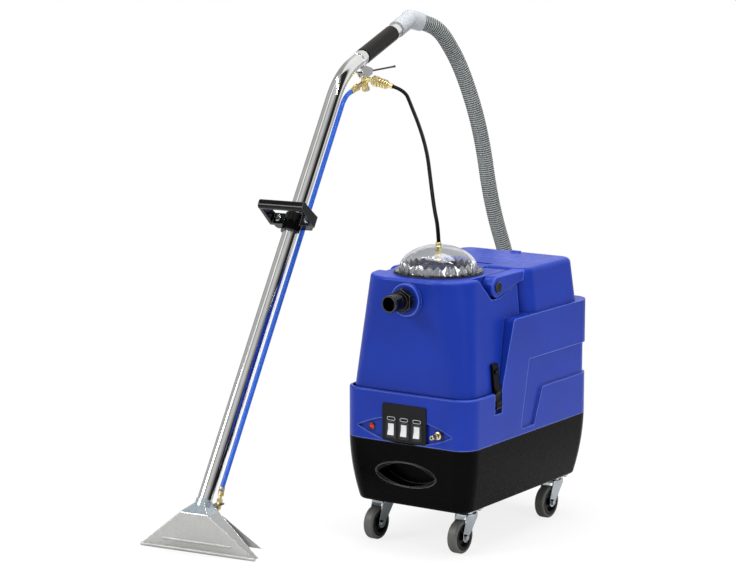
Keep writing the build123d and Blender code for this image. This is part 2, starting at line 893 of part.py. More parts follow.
def make_power_inlet():
    """Recessed three-pin inlet at the back."""
    half = inlet_box_width / 2
    high = inlet_box_height / 2
    rear = half_length + gap
    flange = block((-half, half), (rear, rear + inlet_box_wall), (inlet_box_z - high, inlet_box_z + high))
    flange = fillet(flange.edges().filter_by(Axis.Y), 4)
    box_x = half - inlet_box_wall
    box_z = high - inlet_box_wall
    depth = (rear - 2 * body_wall, rear + inlet_box_wall)
    box = block((-box_x, box_x), depth, (inlet_box_z - box_z, inlet_box_z + box_z))
    room_x = box_x - inlet_box_wall
    room_z = box_z - inlet_box_wall
    room = block((-room_x, room_x), (depth[0] + inlet_box_wall, rear + 9),
                 (inlet_box_z - room_z, inlet_box_z + room_z))
    shape = flange + box - room
    for x in (-9, 0, 9):
        shape += block((x - 1.5, x + 1.5), (depth[0] + 1, rear - 3), (inlet_box_z - 3, inlet_box_z + 3))
    return shape


# ---------------------------------------------------------------- recovery tank
def tank_half_width(z):
    """Half the tank's width at a height."""
    return tank_foot_width / 2 - (z - seat_z) * tank_side_slope


def tank_form(inset, rear):
    """The tank's tapering outside, moved in by inset and carried back to a rear value."""
    foot_z = seat_z + gap + inset
    top_z = tank_top_z - inset
    foot = rounded_section(tank_foot_width - 2 * inset, tank_foot_front_y + inset, rear,
                           tank_foot_corner - inset, foot_z)
    top = rounded_section(tank_top_width - 2 * inset, tank_top_front_y + inset, rear,
                          tank_top_corner - inset, top_z)
    return loft([foot, top])


def tank_side(inset):
    """Side outline that the tank keeps to: in front of the lean, then over the shoulder."""
    shoulder = shoulder_z + 2 * gap + inset
    back = 2 * gap + inset
    step = lean_y(shoulder) - back
    return [
        (front_y - 1, seat_z - 1),
        (lean_y(seat_z - 1) - back, seat_z - 1),
        (step, shoulder),
        (tank_rear_y - inset, shoulder),
        (tank_rear_y - inset, tank_top_z + 1),
        (front_y - 1, tank_top_z + 1),
    ]


def arm_low_line(drop):
    """Two points on the arms' lower edge, let down by drop: at the round end and at the hood."""
    slope = radians(arm_rise)
    radius = arm_radius + drop
    start = (arm_pivot_y + radius * sin(slope), arm_pivot_z - radius * cos(slope))
    end_y = hood_front_y + hood_corner
    end = (end_y, start[1] + (end_y - start[0]) * tan(slope))
    return start, end


def arm_notch(grow):
    """The step in the tank's right top edge that the hood's arm lies in."""
    start, end = arm_low_line(arm_play + grow)
    outline = [
        (notch_front_top_y - grow, tank_top_z + 1),
        (arm_pivot_y - arm_radius - grow, start[1]),
        start,
        end,
        (end[0], tank_top_z + 1),
    ]
    return side_shape(outline, (arm_inner_x - arm_play - grow, body_width))


def hinge_axis(x):
    return rod((x[0], arm_pivot_y, arm_pivot_z), (x[1], arm_pivot_y, arm_pivot_z),
               hinge_pin_diameter / 2)


def make_recovery_tank():
    outside = tank_form(0, half_length / 2) & side_shape(tank_side(0), (-body_width, body_width))
    top = outside.faces().sort_by(Axis.Z)[-1]
    outside = fillet(top.edges(), tank_edge_round)
    room = tank_form(tank_wall, half_length / 2)
    room &= side_shape(tank_side(tank_wall), (-body_width, body_width))
    seat = hinge_seat_depth + tank_wall
    room -= arm_notch(seat)
    room -= mirrored(arm_notch(seat))
    half = tongue_width / 2
    tongue = block((-half, half), (tank_rear_y - tank_wall, tongue_rear_y), (tongue_foot_z, tank_top_z))
    tongue = fillet(tongue.edges().filter_by(Axis.X).group_by(Axis.Y)[-1], 4)
    boss_face = tank_top_front_y - boss_length
    boss = rod((0, boss_face, boss_z), (0, tank_top_front_y + tank_wall, boss_z), boss_diameter / 2)
    boss = fillet(boss.edges().sort_by(Axis.Y)[0], 2)
    tank = outside + boss - room + tongue
    tank -= Pos(0, dome_y, tank_top_z) * Cylinder(dome_mouth_diameter / 2, 4 * tank_wall)
    inlet = inlet_thread_diameter / 2 + slip_fit
    tank -= rod((0, boss_face - 1, boss_z), (0, tank_top_front_y + 4 * tank_wall, boss_z), inlet)
    tank -= arm_notch(0)
    tank -= mirrored(arm_notch(0))
    inner = arm_inner_x - arm_play - hinge_seat_depth
    seat_hole = rod((inner, arm_pivot_y, arm_pivot_z), (body_width, arm_pivot_y, arm_pivot_z),
                    hinge_pin_diameter / 2 + slip_fit)
    tank -= seat_hole
    tank -= mirrored(seat_hole)
    return tank


def make_vacuum_inlet():
    """Threaded spigot with a hexagon and a hose barb, bored through."""
    face = tank_top_front_y - boss_length - gap
    hex_front = face - inlet_collar_length - inlet_hex_length
    tip = hex_front - barb_length
    radius = barb_diameter / 2
    inside = tank_top_front_y + 2 * tank_wall
    shape = rod((0, inside, boss_z), (0, face, boss_z), inlet_thread_diameter / 2)
    shape += rod((0, face, boss_z), (0, face - inlet_collar_length, boss_z), inlet_hex / 2)
    shape += hexagon_bar((0, face - inlet_collar_length, boss_z), (0, hex_front, boss_z), inlet_hex)
    barb = [
        (0, 0),
        (radius - 1, 0),
        (radius - 1, barb_length / 3),
        (radius, barb_length / 2.6),
        (radius, barb_length - 3),
        (radius - 2, barb_length),
        (0, barb_length),
    ]
    shape += turned(barb, Location((0, hex_front, boss_z), (90, 0, 0)))
    return shape - rod((0, inside + 1, boss_z), (0, tip - 1, boss_z), inlet_bore / 2)


# ---------------------------------------------------------------- dome
def make_dome_gasket():
    ring = Cylinder(dome_flange_diameter / 2 + gasket_overhang / 2, gasket_thickness)
    ring -= Cylinder(dome_mouth_diameter / 2, 2 * gasket_thickness)
    return Pos(0, dome_y, tank_top_z + gasket_thickness / 2) * ring


def dome_body(inset):
    """A half ellipsoid on the flange's top, moved in by inset."""
    arch = EllipticalCenterArc((0, 0), dome_diameter / 2 - inset, dome_height - inset, arc_size=90)
    face = make_face([arch, Line(arch @ 1, (0, 0)), Line((0, 0), arch @ 0)])
    return Pos(0, dome_y, dome_flange_top_z) * revolve(Plane.XZ * face, Axis.Z)


def make_dome_lid():
    flange = Pos(0, dome_y, dome_z) * extrude(Circle(dome_flange_diameter / 2), dome_flange_thickness)
    flange = fillet(flange.edges().sort_by(Axis.Z)[-1], dome_flange_thickness / 2)
    mouth = dome_diameter / 2 - dome_wall
    lid = flange + dome_body(0) - dome_body(dome_wall)
    lid -= Pos(0, dome_y, dome_z) * Cylinder(mouth, 2 * dome_flange_thickness)
    hole = fitting_thread_diameter / 2 + slip_fit
    return lid - rod((0, dome_y, dome_z), (0, dome_y, dome_top_z + 1), hole)


def make_dome_fitting():
    """Brass fitting: a nut above the dome, a thread through it and a ridged tail below."""
    thread = fitting_thread_diameter / 2
    nut = fitting_nut_diameter / 2
    tail = fitting_tail_diameter / 2
    under = dome_top_z - dome_wall - gap
    foot = under - fitting_tail_length
    profile = [(0, foot), (tail - 2, foot), (tail, foot + 4)]
    ridges = 4
    pitch = (fitting_tail_length - 6) / ridges
    for index in range(ridges):
        z = foot + 4 + index * pitch
        profile += [(tail, z + pitch / 2), (tail - 1.5, z + pitch / 2 + 1), (tail - 1.5, z + pitch - 1)]
        profile += [(tail, z + pitch)]
    profile += [
        (tail - 2, under),
        (thread, under),
        (thread, dome_top_z + gap),
        (nut, dome_top_z + gap),
        (nut, dome_top_z + fitting_nut_height - 1),
        (nut - 1, dome_top_z + fitting_nut_height),
        (0, dome_top_z + fitting_nut_height),
    ]
    return turned(profile, Pos(0, dome_y, 0))


# ---------------------------------------------------------------- float
def float_parts_height():
    """Underside of the tank's top, foot of the cage, and centre of the resting ball."""
    top = tank_top_z - tank_wall - gap
    foot = top - float_cage_height
    return top, foot, foot + float_cage_wall + gap + float_diameter / 2


def make_float_cage():
    top, foot, ball = float_parts_height()
    inner = float_diameter / 2 + 1.5
    outer = inner + float_cage_wall
    cage = pipe((0, 0, foot), (0, 0, top), outer, inner)
    cage += rod((0, 0, foot), (0, 0, foot + float_cage_wall), outer)
    seat_z_low = ball + float_travel + float_diameter / 2 + gap
    cage += rod((0, 0, seat_z_low), (0, 0, seat_z_low + float_cage_wall), outer)
    cage -= rod((0, 0, seat_z_low - 1), (0, 0, top), float_diameter / 3)
    window = (foot + 2 * float_cage_wall, seat_z_low - float_cage_wall)
    for angle in (0, 90):
        cage -= Rot(0, 0, angle) * block((-outer - 1, outer + 1), (-inner / 2, inner / 2), window)
    return Pos(float_x, float_y, 0) * cage


def make_float_ball():
    return Pos(float_x, float_y, float_parts_height()[2]) * Sphere(float_diameter / 2)


# ---------------------------------------------------------------- hood and its lid
def hood_form(inset, top_z):
    """The hood's tapering outside, moved in by inset."""
    low = shoulder_z + gap
    foot = rounded_section(hood_bottom_width - 2 * inset, hood_front_y + inset, hood_rear_y - inset,
                           hood_corner - inset, low)
    top = rounded_section(hood_top_width - 2 * inset, hood_front_y + inset,
                          hood_rear_y - hood_rear_lean - inset, hood_corner - inset, top_z)
    return loft([foot, top])


def hood_arm():
    """The right hinge arm: a flat bar with a round end, reaching forward from the hood."""
    start, end = arm_low_line(0)
    top = arm_pivot_z + arm_radius
    outline = [(arm_pivot_y, arm_pivot_z), start, end, (end[0], top), (arm_pivot_y, top)]
    x = (arm_inner_x, arm_outer_x)
    arm = side_shape(outline, x)
    arm += rod((x[0], arm_pivot_y, arm_pivot_z), (x[1], arm_pivot_y, arm_pivot_z), arm_radius)
    outer = [e for e in arm.faces().sort_by(Axis.X)[-1].edges() if e.center().Y < end[0] - 1]
    arm = fillet(outer, arm_edge_round)
    cut = block((arm_inner_x - 1, arm_outer_x + 1), (hood_front_y + hood_corner / 2, end[0] + 1),
                (start[1], top + 1))
    return arm - cut


def lid_corner_points():
    """The lid's hinge line: y and z of the trunnions' axis."""
    return lid_front_y + lid_thickness / 2, hood_top_z - lid_thickness / 2


def make_rear_hood():
    outside = hood_form(0, hood_top_z)
    outside = fillet(outside.faces().sort_by(Axis.Z)[-1].edges(), hood_edge_round)
    inside = hood_form(hood_wall, hood_top_z) & block(
        (-body_width, body_width), (-body_length, body_length), (shoulder_z, hood_top_z - hood_top_thickness)
    )
    arm = hood_arm()
    hood = outside - inside + arm + mirrored(arm)
    play = arm_play
    half = tongue_width / 2 + play
    y = (hood_front_y - 1, tongue_rear_y + play)
    hood -= block((-half, half), y, (shoulder_z - 1, hood_top_z + 1))
    half = lid_width / 2 + lid_play
    floor = hood_top_z - lid_thickness - gap
    y = (lid_front_y - lid_play, lid_rear_y + lid_play)
    hood -= block((-half, half), y, (floor, hood_top_z + 1))
    half -= lid_ledge
    y = (y[0] + lid_ledge, y[1] - lid_ledge)
    hood -= block((-half, half), y, (floor - hood_top_thickness, hood_top_z))
    y, z = lid_corner_points()
    half = lid_width / 2 + lid_pin_length + gap
    hood -= rod((-half, y, z), (half, y, z), lid_thickness / 2 - 0.5 + turning_fit)
    x = arm_outer_x + 1
    return hood - rod((-x, arm_pivot_y, arm_pivot_z), (x, arm_pivot_y, arm_pivot_z),
                      hinge_pin_diameter / 2 + turning_fit)


def make_hinge_pins():
    x = arm_inner_x - arm_play - hinge_seat_depth + gap
    outer = arm_outer_x + gap
    pin = hinge_axis((x, outer))
    cap = rod((outer, arm_pivot_y, arm_pivot_z), (outer + hinge_cap_thickness, arm_pivot_y, arm_pivot_z),
              hinge_cap_diameter / 2)
    cap = fillet(cap.edges().sort_by(Axis.X)[-1], 1)
    pin += cap
    return pin + mirrored(pin)


def make_filler_lid():
    half = lid_width / 2
    y, z = lid_corner_points()
    plate = block((-half, half), (y, lid_rear_y), (hood_top_z - lid_thickness, hood_top_z))
    rear = plate.edges().filter_by(Axis.Z).group_by(Axis.Y)[-1]
    plate = fillet(rear, 8)
    plate += rod((-half, y, z), (half, y, z), lid_thickness / 2)
    pin = half + lid_pin_length
    plate += rod((-pin, y, z), (pin, y, z), lid_thickness / 2 - 0.5)
    tab = block((-tab_width / 2, tab_width / 2), (lid_rear_y - 2 * tab_height, lid_rear_y),
                (hood_top_z - 1, hood_top_z + tab_height))
    return plate + fillet(tab.edges().filter_by(Axis.X).group_by(Axis.Z)[-1], 1.5)


# ---------------------------------------------------------------- draw latches
def strap_inner(z):
    """The strap's inner face, a little off the tank's side."""
    return tank_half_width(z) + 1


def make_latch_strap():
    """The right latch: an eye on its pin and a strap with a window for the keeper."""
    x_eye = latch_pin_line(0)[0][0]
    low = latch_pivot_z
    knee = rim_z + 4
    outline = [
        (strap_inner(low), low),
        (strap_inner(low) + latch_thickness, low),
        (strap_inner(knee - 14) + latch_thickness, knee - 14),
        (strap_inner(knee) + 1.5 * latch_thickness, knee),
        (strap_inner(knee + 14) + latch_thickness, knee + 14),
        (strap_inner(latch_top_z) + latch_thickness, latch_top_z - 4),
        (strap_inner(latch_top_z) + latch_thickness - 3, latch_top_z),
        (strap_inner(latch_top_z), latch_top_z),
    ]
    half = latch_width / 2
    face = Plane.XZ.offset(-latch_y - half) * make_face(Polyline(*outline, close=True))
    strap = extrude(face, latch_width)
    y = (latch_y - half, latch_y + half)
    strap += rod((x_eye, y[0], low), (x_eye, y[1], low), latch_eye_diameter / 2)
    strap -= rod((x_eye, y[0] - 1, low), (x_eye, y[1] + 1, low), latch_pin_diameter / 2 + turning_fit)
    window = keeper_width / 2 + 1.2
    tall = keeper_height / 2 + 1.8
    strap -= block((x_eye - 3 * latch_thickness, x_eye + 3 * latch_thickness),
                   (latch_y - window, latch_y + window), (keeper_z - tall, keeper_z + tall))
    return strap


def make_latch_anchors():
    pin = rod(*latch_pin_line(latch_pin_diameter - gap), latch_pin_diameter / 2)
    return pin + mirrored(pin)


def make_latch_keepers():
    inner = tank_half_width(keeper_z - keeper_height / 2) + gap
    outer = inner + latch_thickness + 4
    nose = block((inner, outer), (latch_y - keeper_width / 2, latch_y + keeper_width / 2),
                 (keeper_z - keeper_height / 2, keeper_z + keeper_height / 2))
    nose = fillet(nose.faces().sort_by(Axis.X)[-1].edges(), 1.5)
    return nose + mirrored(nose)


# ---------------------------------------------------------------- inside
def upright_shell(y, z_low, z_high, diameter, wall):
    """A closed round housing on a vertical axis."""
    outside = rod((0, y, z_low), (0, y, z_high), diameter / 2)
    return outside - rod((0, y, z_low + wall), (0, y, z_high - wall), diameter / 2 - wall)


def motor_heights():
    """Foot of the fan housing, its top, and the top of the motor's can."""
    foot = caster_height + tub_wall + gap
    fan_top = foot + motor_fan_height
    return foot, fan_top, fan_top + motor_can_height


def make_vacuum_motor():
    foot, fan_top, can_top = motor_heights()
    fan = upright_shell(motor_y, foot, fan_top, motor_diameter, motor_wall)
    can = rod((0, motor_y, fan_top), (0, motor_y, can_top), motor_can_diameter / 2)
    can = fillet(can.edges().sort_by(Axis.Z)[-1], 6)
    shape = fan + can
    outlet = motor_diameter / 2
    tall = (foot + motor_wall, fan_top - 2 * motor_wall)
    shape -= block((-outlet / 4, outlet / 4), (motor_y + outlet - 3 * motor_wall, motor_y + outlet + 1), tall)
    shaft = motor_shaft_diameter / 2 + turning_fit
    bore_top = fan_top + motor_fan_height / 2 + gap
    return shape - rod((0, motor_y, fan_top - motor_wall - 1), (0, motor_y, bore_top), shaft)


def make_motor_impeller():
    foot, fan_top, can_top = motor_heights()
    low = (foot + fan_top - impeller_height) / 2
    high = low + impeller_height
    radius = impeller_diameter / 2
    wheel = rod((0, motor_y, low), (0, motor_y, low + motor_wall), radius)
    wheel += rod((0, motor_y, high - motor_wall), (0, motor_y, high), radius)
    wheel += rod((0, motor_y, low), (0, motor_y, high), motor_shaft_diameter)
    for index in range(8):
        vane = block((motor_shaft_diameter - 3, radius - 2), (-1, 1), (low + 1, high - 1))
        wheel += Pos(0, motor_y, 0) * Rot(0, 0, index * 45) * vane
    shaft_top = fan_top + motor_fan_height / 2
    return wheel + rod((0, motor_y, low), (0, motor_y, shaft_top), motor_shaft_diameter / 2)


def make_solution_pump():
    foot = caster_height + tub_wall + gap
    half = pump_head_width / 2
    y = (pump_y - pump_head_length / 2, pump_y + pump_head_length / 2)
    head = block((pump_x - half, pump_x + half), y, (foot, foot + pump_head_height))
    head = fillet(head.edges().filter_by(Axis.Z), 8)
    middle = foot + pump_head_height / 2
    head += rod((pump_x, y[1], middle), (pump_x, y[1] + pump_motor_length, middle), pump_motor_diameter / 2)
    port = solution_hose_diameter
    top = foot + pump_head_height
    for x in (pump_x - half / 2, pump_x + half / 2):
        head += rod((x, pump_y, top), (x, pump_y, top + 2 * port), port)
        head -= rod((x, pump_y, top), (x, pump_y, top + 2 * port + 1), port / 2)
    return head


# ---------------------------------------------------------------- wand
def tube_sweep(radius):
    """A round bar along the wand tube's bent centre line."""
    path = FilletPolyline(tube_foot, tube_corner, tube_end, radius=tube_bend_radius)
    return sweep(Plane(origin=tube_foot, z_dir=tube_up) * Circle(radius), path)


def make_wand_tube():
    return tube_sweep(tube_radius) - tube_sweep(tube_radius - tube_wall)


def head_sections(wall):
    """The head's four-sided sections from its slot to its neck, moved in by a wall."""
    slot = head_width / 2
    shoulder = head_shoulder_width / 2
    back = head_back_width / 2
    neck = neck_top_width / 2
    lift = head_lip_height / 2
    return [
        cross_section((slot - wall, wall, lift), (slot - 2 - wall, head_slot - wall, lift)),
        cross_section((shoulder - wall, head_shoulder_y + wall, head_shoulder_z),
                      (back - wall, head_back_y - wall, head_back_z)),
        cross_section((neck - wall / 2, neck_top_y + wall, neck_top_z),
                      (tube_radius - 2 - wall / 2, neck_back_y() - wall, neck_back_z)),
    ]


def neck_back_y():
    """Where the neck's back edge meets the tube."""
    return tube_foot_y + tube_radius / cos(lean) + (neck_back_z - tube_foot_z) * tan(lean)


def make_wand_head():
    lift = head_lip_height / 2
    half = head_width / 2
    rear = head_slot
    shape = loft(head_sections(0), ruled=True)
    shape += rod((-half, 0, lift), (half, 0, lift), lift)
    shape += rod((-half + 2, rear, lift), (half - 2, rear, lift), lift / 2)
    slope = (head_shoulder_y / (head_shoulder_z - lift))
    rib_z = 3 * head_lip_height
    rib_y = slope * (rib_z - lift) + rib_width / 2 - rib_height
    shape += rod((-rib_length / 2, rib_y, rib_z), (rib_length / 2, rib_y, rib_z), rib_width / 2)
    collar = tube_foot + tube_up * tube_radius
    shape += rod(tube_foot - tube_up * tube_wall, collar, tube_radius + slip_fit + head_wall)
    shape -= loft(head_sections(head_wall), ruled=True)
    bore = tube_foot + tube_up * gap
    shape -= rod(tube_foot - tube_up * gap, collar + tube_up, tube_radius + slip_fit)
    mouth = tube_radius - head_wall
    return shape - rod(tube_foot - tube_up * tube_radius, bore, mouth)


def plate_between(low, high, thickness):
    """A flat plate with a low edge and a high edge, each (half width, y, z), made thick backwards."""
    face = cross_section(low, high)
    return extrude(face, thickness)


def make_spray_shroud():
    low = (shroud_bottom_width / 2, shroud_bottom_y, shroud_bottom_z)
    high = (shroud_top_width / 2, shroud_top_y, shroud_top_z)
    plate = plate_between(low, high, shroud_thickness)
    slope = (head_back_y - head_slot) / (head_back_z - head_lip_height / 2)
    front_y_at_top = head_slot + slope * (shroud_top_z - head_lip_height / 2) + gap
    half = shroud_top_width / 2
    flange = block((-half, half), (front_y_at_top, shroud_top_y + shroud_thickness / 2),
                   (shroud_top_z - shroud_thickness, shroud_top_z))
    return plate + flange


def jet_point(along):
    """A point on the spray jet's axis, measured up from its bracket."""
    return Vector(line_side, jet_y, jet_z) + jet_up * along


def make_jet_bracket():
    half = jet_bracket_width / 2
    front = head_back_y + 6
    rear = jet_y + half
    z = jet_z
    plate = block((line_side - half, line_side + half), (front, rear), (z - jet_bracket_thickness / 2,
                                                                        z + jet_bracket_thickness / 2))
    plate = fillet(plate.edges().filter_by(Axis.Z).group_by(Axis.Y)[-1], half / 2)
    plate += block((line_side - half, line_side + half), (front, front + jet_bracket_thickness),
                   (z - half, z + jet_bracket_thickness / 2))
    return plate - rod(jet_point(-10), jet_point(10), jet_diameter / 2 - 1 + slip_fit)


def make_spray_jet():
    """Nozzle below the bracket, hexagon above it, and the ferrule that takes the blue line."""
    stem = jet_diameter / 2 - 1
    under = 2 * jet_bracket_thickness
    jet = rod(jet_point(-17), jet_point(-13), stem / 2)
    jet += rod(jet_point(-13), jet_point(-under), stem + 1)
    jet += rod(jet_point(-under), jet_point(under), stem)
    jet += hexagon_bar(jet_point(under), jet_point(12), jet_diameter)
    jet += rod(jet_point(12), jet_point(22), stem - 1)
    top = wand_line_foot()
    jet += rod(jet_point(20), top, line_diameter / 2 + 1.5)
    socket = top - wand_line_up() * line_diameter
    return jet - rod(socket, top + wand_line_up() * 5, line_diameter / 2 + slip_fit)


def wand_line_foot():
    return jet_point(41)


def port_out():
    """The way the valve's port for the blue line points."""
    tilt = radians(valve_port_tilt)
    return -Vector(0, cos(tilt), sin(tilt))


def wand_line_head():
    """The open end of the blue line's ferrule at the valve."""
    return Vector(0, valve_y, valve_z) + port_out() * valve_port_length


def wand_line_corner():
    """Where the blue line's straight run would meet the port's axis."""
    return wand_line_head() + port_out() * line_corner_from_port


def wand_line_up():
    return (wand_line_corner() - wand_line_foot()).normalized()


def make_wand_solution_line():
    reach = line_diameter - gap
    foot = wand_line_foot() - wand_line_up() * reach
    head = wand_line_head() - port_out() * reach
    path = FilletPolyline(foot, wand_line_corner(), head, radius=line_bend_radius)
    return sweep(Plane(origin=foot, z_dir=wand_line_up()) * Circle(line_diameter / 2), path)


def along_handle(distance):
    """A point on the handle part's centre line, measured from the tube's corner."""
    return tube_corner + handle_out * distance


def make_grip_sleeve():
    start = along_handle(sleeve_start)
    end = along_handle(sleeve_start + sleeve_length)
    sleeve = rod(start, end, sleeve_diameter / 2)
    sleeve = fillet(sleeve.edges(), 1.5)
    return sleeve - rod(start - handle_out, end + handle_out, tube_radius + slip_fit)


def make_hose_cuff():
    """Sleeve on the tube's end, a knuckle where it turns, and the bigger sleeve for the hose."""
    start = along_handle(cuff_start)
    small = tube_radius + cuff_wall
    big = cuff_big_diameter / 2
    cuff = rod(start, cuff_turn, small)
    cuff += Pos(*cuff_turn) * Sphere(big)
    cuff += rod(cuff_turn, cuff_end, big)
    tube_room = tube_end + handle_out * gap
    cuff -= rod(start - handle_out, tube_room, tube_radius + slip_fit)
    bore = tube_radius - tube_wall
    cuff -= rod(tube_room - handle_out, cuff_turn, bore)
    cuff -= Pos(*cuff_turn) * Sphere(bore)
    cuff -= rod(cuff_turn, cuff_end + cuff_out, bore)
    socket = cuff_end - cuff_out * hose_socket
    return cuff - rod(socket, cuff_end + cuff_out, vacuum_hose_diameter / 2 + slip_fit)


def handle_place():
    """The D-handle's own frame: x across, y behind the tube, z up along the tube."""
    return Plane(origin=tube_foot + tube_up * handle_at, x_dir=(1, 0, 0), z_dir=tube_up)


def handle_bolt_holes(radius):
    """Two bars where the clamp's bolts run."""
    bars = []
    for side in (-1, 1):
        x = side * clamp_bolt_across / 2
        bars.append(rod((x, -handle_reach / 2, 0), (x, clamp_depth - 4, 0), radius))
    return bars


def clamp_half(y, low, high):
    """Collar round the tube between two heights, on one side of it: y is the side's two ends."""
    collar = rod((0, 0, low), (0, 0, high), collar_diameter / 2)
    return collar & block((-collar_diameter, collar_diameter), y, (low, high))


def make_d_handle():
    half = handle_width / 2
    thick = handle_bar_thickness
    front = -handle_reach
    bar_z = handle_bar_raise
    bar = block((-half, half), (front - thick / 2, front + thick / 2),
                (bar_z - handle_bar_height / 2, bar_z + handle_bar_height / 2))
    bar = fillet(bar.edges().filter_by(Axis.X), thick / 2 - 1)
    tall = clamp_height / 2
    outline = [
        (front, bar_z - handle_bar_height / 2 + 1),
        (front, bar_z + handle_bar_height / 2 - 1),
        (-gap, tall),
        (-gap, -tall),
        (-handle_ear_thickness, -tall),
    ]
    shape = bar
    for side in (-1, 1):
        x = sorted((side * half, side * (half - handle_side_thickness)))
        shape += side_shape(outline, x)
    shape += block((-half, half), (-handle_ear_thickness, -gap), (-tall, tall))
    shape += clamp_half((-collar_diameter, -gap), -tall - collar_drop, tall)
    shape -= rod((0, 0, -2 * tall - collar_drop), (0, 0, 2 * tall), tube_radius + slip_fit)
    for bar in handle_bolt_holes(clamp_bolt_diameter / 2 + slip_fit):
        shape -= bar
    return handle_place() * shape


def make_handle_clamp():
    half = clamp_width / 2
    tall = clamp_height / 2
    shape = block((-half, half), (gap, clamp_depth), (-tall, tall))
    shape = fillet(shape.edges().filter_by(Axis.Z).group_by(Axis.Y)[-1], 8)
    shape += clamp_half((gap, collar_diameter), -tall, tall)
    shape -= rod((0, 0, -2 * tall), (0, 0, 2 * tall), tube_radius + slip_fit)
    for bar in handle_bolt_holes(clamp_bolt_diameter / 2 + slip_fit):
        shape -= bar
    return handle_place() * shape


def make_clamp_bolts():
    parts = []
    for side in (-1, 1):
        x = side * clamp_bolt_across / 2
        face = -handle_ear_thickness - gap
        bolt = rod((x, face, 0), (x, clamp_depth - 4 - gap, 0), clamp_bolt_diameter / 2)
        head = rod((x, face - 5, 0), (x, face, 0), clamp_bolt_head / 2)
        head = fillet(head.edges().sort_by(Axis.Y)[0], 3.5)
        bolt += head
        bolt -= hexagon_bar((x, face - 6, 0), (x, face - 2, 0), 6)
        parts.append(handle_place() * bolt)
    return group(parts)


def lever_pivot():
    return Vector(0, lever_pivot_y, lever_pivot_z)


def make_valve_bracket():
    """Band round the tube, two cheeks down to the valve, and the lever's pin between them."""
    middle = along_handle(bracket_at)
    start = middle - handle_out * (bracket_width / 2)
    end = middle + handle_out * (bracket_width / 2)
    outer = tube_radius + slip_fit + bracket_thickness
    band = rod(start, end, outer)
    cheek = [
        (middle.Y - 14, middle.Z - 22),
        (middle.Y + 12, middle.Z - 16),
        (lever_pivot_y + 9, lever_pivot_z + 9),
        (lever_pivot_y + 9, lever_pivot_z - 6),
        (valve_y + valve_radius, valve_z + 1.7 * valve_radius),
        (valve_y - valve_radius, valve_z + valve_radius),
    ]
    inner = valve_radius + gap
    for side in (-1, 1):
        x = sorted((side * inner, side * (inner + bracket_thickness)))
        band += side_shape(cheek, x)
    roof = [cheek[0], cheek[1], (middle.Y + 12, middle.Z - 26), (middle.Y - 12, middle.Z - 30)]
    band += side_shape(roof, (-inner - 1, inner + 1))
    band -= rod(start - handle_out * 30, end + handle_out * 30, tube_radius + slip_fit)
    arm_room = valve_radius - 3 + gap
    band -= rod(Vector(0, valve_y, valve_z), valve_knee(), arm_room)
    band -= Pos(*valve_knee()) * Sphere(arm_room)
    reach = inner + bracket_thickness
    side = Vector(reach, 0, 0)
    return band + rod(lever_pivot() - side, lever_pivot() + side, lever_pin_diameter / 2)


def make_trigger_lever():
    """Eye on the pin, a foot over the valve, and the long rod under the grip."""
    eye = valve_radius - 3
    pivot = lever_pivot()
    shape = rod(pivot - Vector(eye, 0, 0), pivot + Vector(eye, 0, 0), lever_diameter)
    tip = Vector(0, lever_pivot_y + lever_length, lever_pivot_z + 2)
    shape += rod(pivot, tip, lever_diameter / 2)
    shape += Pos(*tip) * Sphere(lever_diameter / 2 + 1)
    toe = Vector(0, valve_y, valve_z + 3 * valve_radius)
    shape += rod(pivot, toe, lever_diameter / 2)
    return shape - rod(pivot - Vector(9, 0, 0), pivot + Vector(9, 0, 0), lever_pin_diameter / 2 + turning_fit)


def coupler_line():
    """The quick coupler's two ends."""
    start = Vector(coupler_out, valve_y - 2, valve_z + coupler_above)
    return start, start + Vector(58.8, 3.7, -14)


def valve_knee():
    """Where the valve's side arm turns to run out to the coupler."""
    start, end = coupler_line()
    return start - (end - start).normalized() * valve_radius


def make_valve_body():
    """Brass cross: plunger on top, plug below, the blue line's port and the coupler's port."""
    middle = Vector(0, valve_y, valve_z)
    top = Vector(0, 0, 1)
    body = rod(middle - top * 12, middle + top * 11, valve_radius)
    body += rod(middle + top * 11, middle + top * 18, valve_radius / 2)
    plug = middle + Vector(0, valve_radius / 2, -1.6 * valve_radius)
    out = (plug - middle).normalized()
    body += rod(middle, plug, valve_radius - 1)
    body += hexagon_bar(plug, plug + out * valve_radius, 2 * valve_radius)
    port = wand_line_head()
    back = -port_out()
    body += rod(middle, port + back * (ferrule_length - 1), valve_radius - 3)
    nut = port + back * ferrule_length
    body += hexagon_bar(nut, nut + back * valve_radius, 2 * valve_radius)
    body += rod(port, nut, line_diameter / 2 + 1.5)
    start, end = coupler_line()
    knee = valve_knee()
    body += rod(middle, knee, valve_radius - 3)
    body += Pos(*knee) * Sphere(valve_radius - 3)
    body += rod(knee, start - (end - start).normalized() * gap, valve_radius - 3)
    return body - rod(port - back * 5, port + back * line_diameter, line_diameter / 2 + slip_fit)


def make_quick_coupler():
    """Hexagon, knurled drum with two grooves, and a slim tail that holds the hose."""
    start, end = coupler_line()
    along = (end - start).normalized()
    radius = coupler_diameter / 2
    length = (end - start).length
    shape = rod(start, end, solution_hose_diameter / 2 + 2)
    shape += rod(start, start + along * (0.76 * length), radius - 3)
    shape += hexagon_bar(start + along * (0.06 * length), start + along * (0.3 * length), 2 * radius)
    for low, high in ((0.34, 0.44), (0.47, 0.57), (0.6, 0.7)):
        ring = rod(start + along * (low * length), start + along * (high * length), radius)
        shape += fillet(ring.edges(), 1.5)
    socket = end - along * coupler_socket
    return shape - rod(socket, end + along, solution_hose_diameter / 2 + slip_fit)


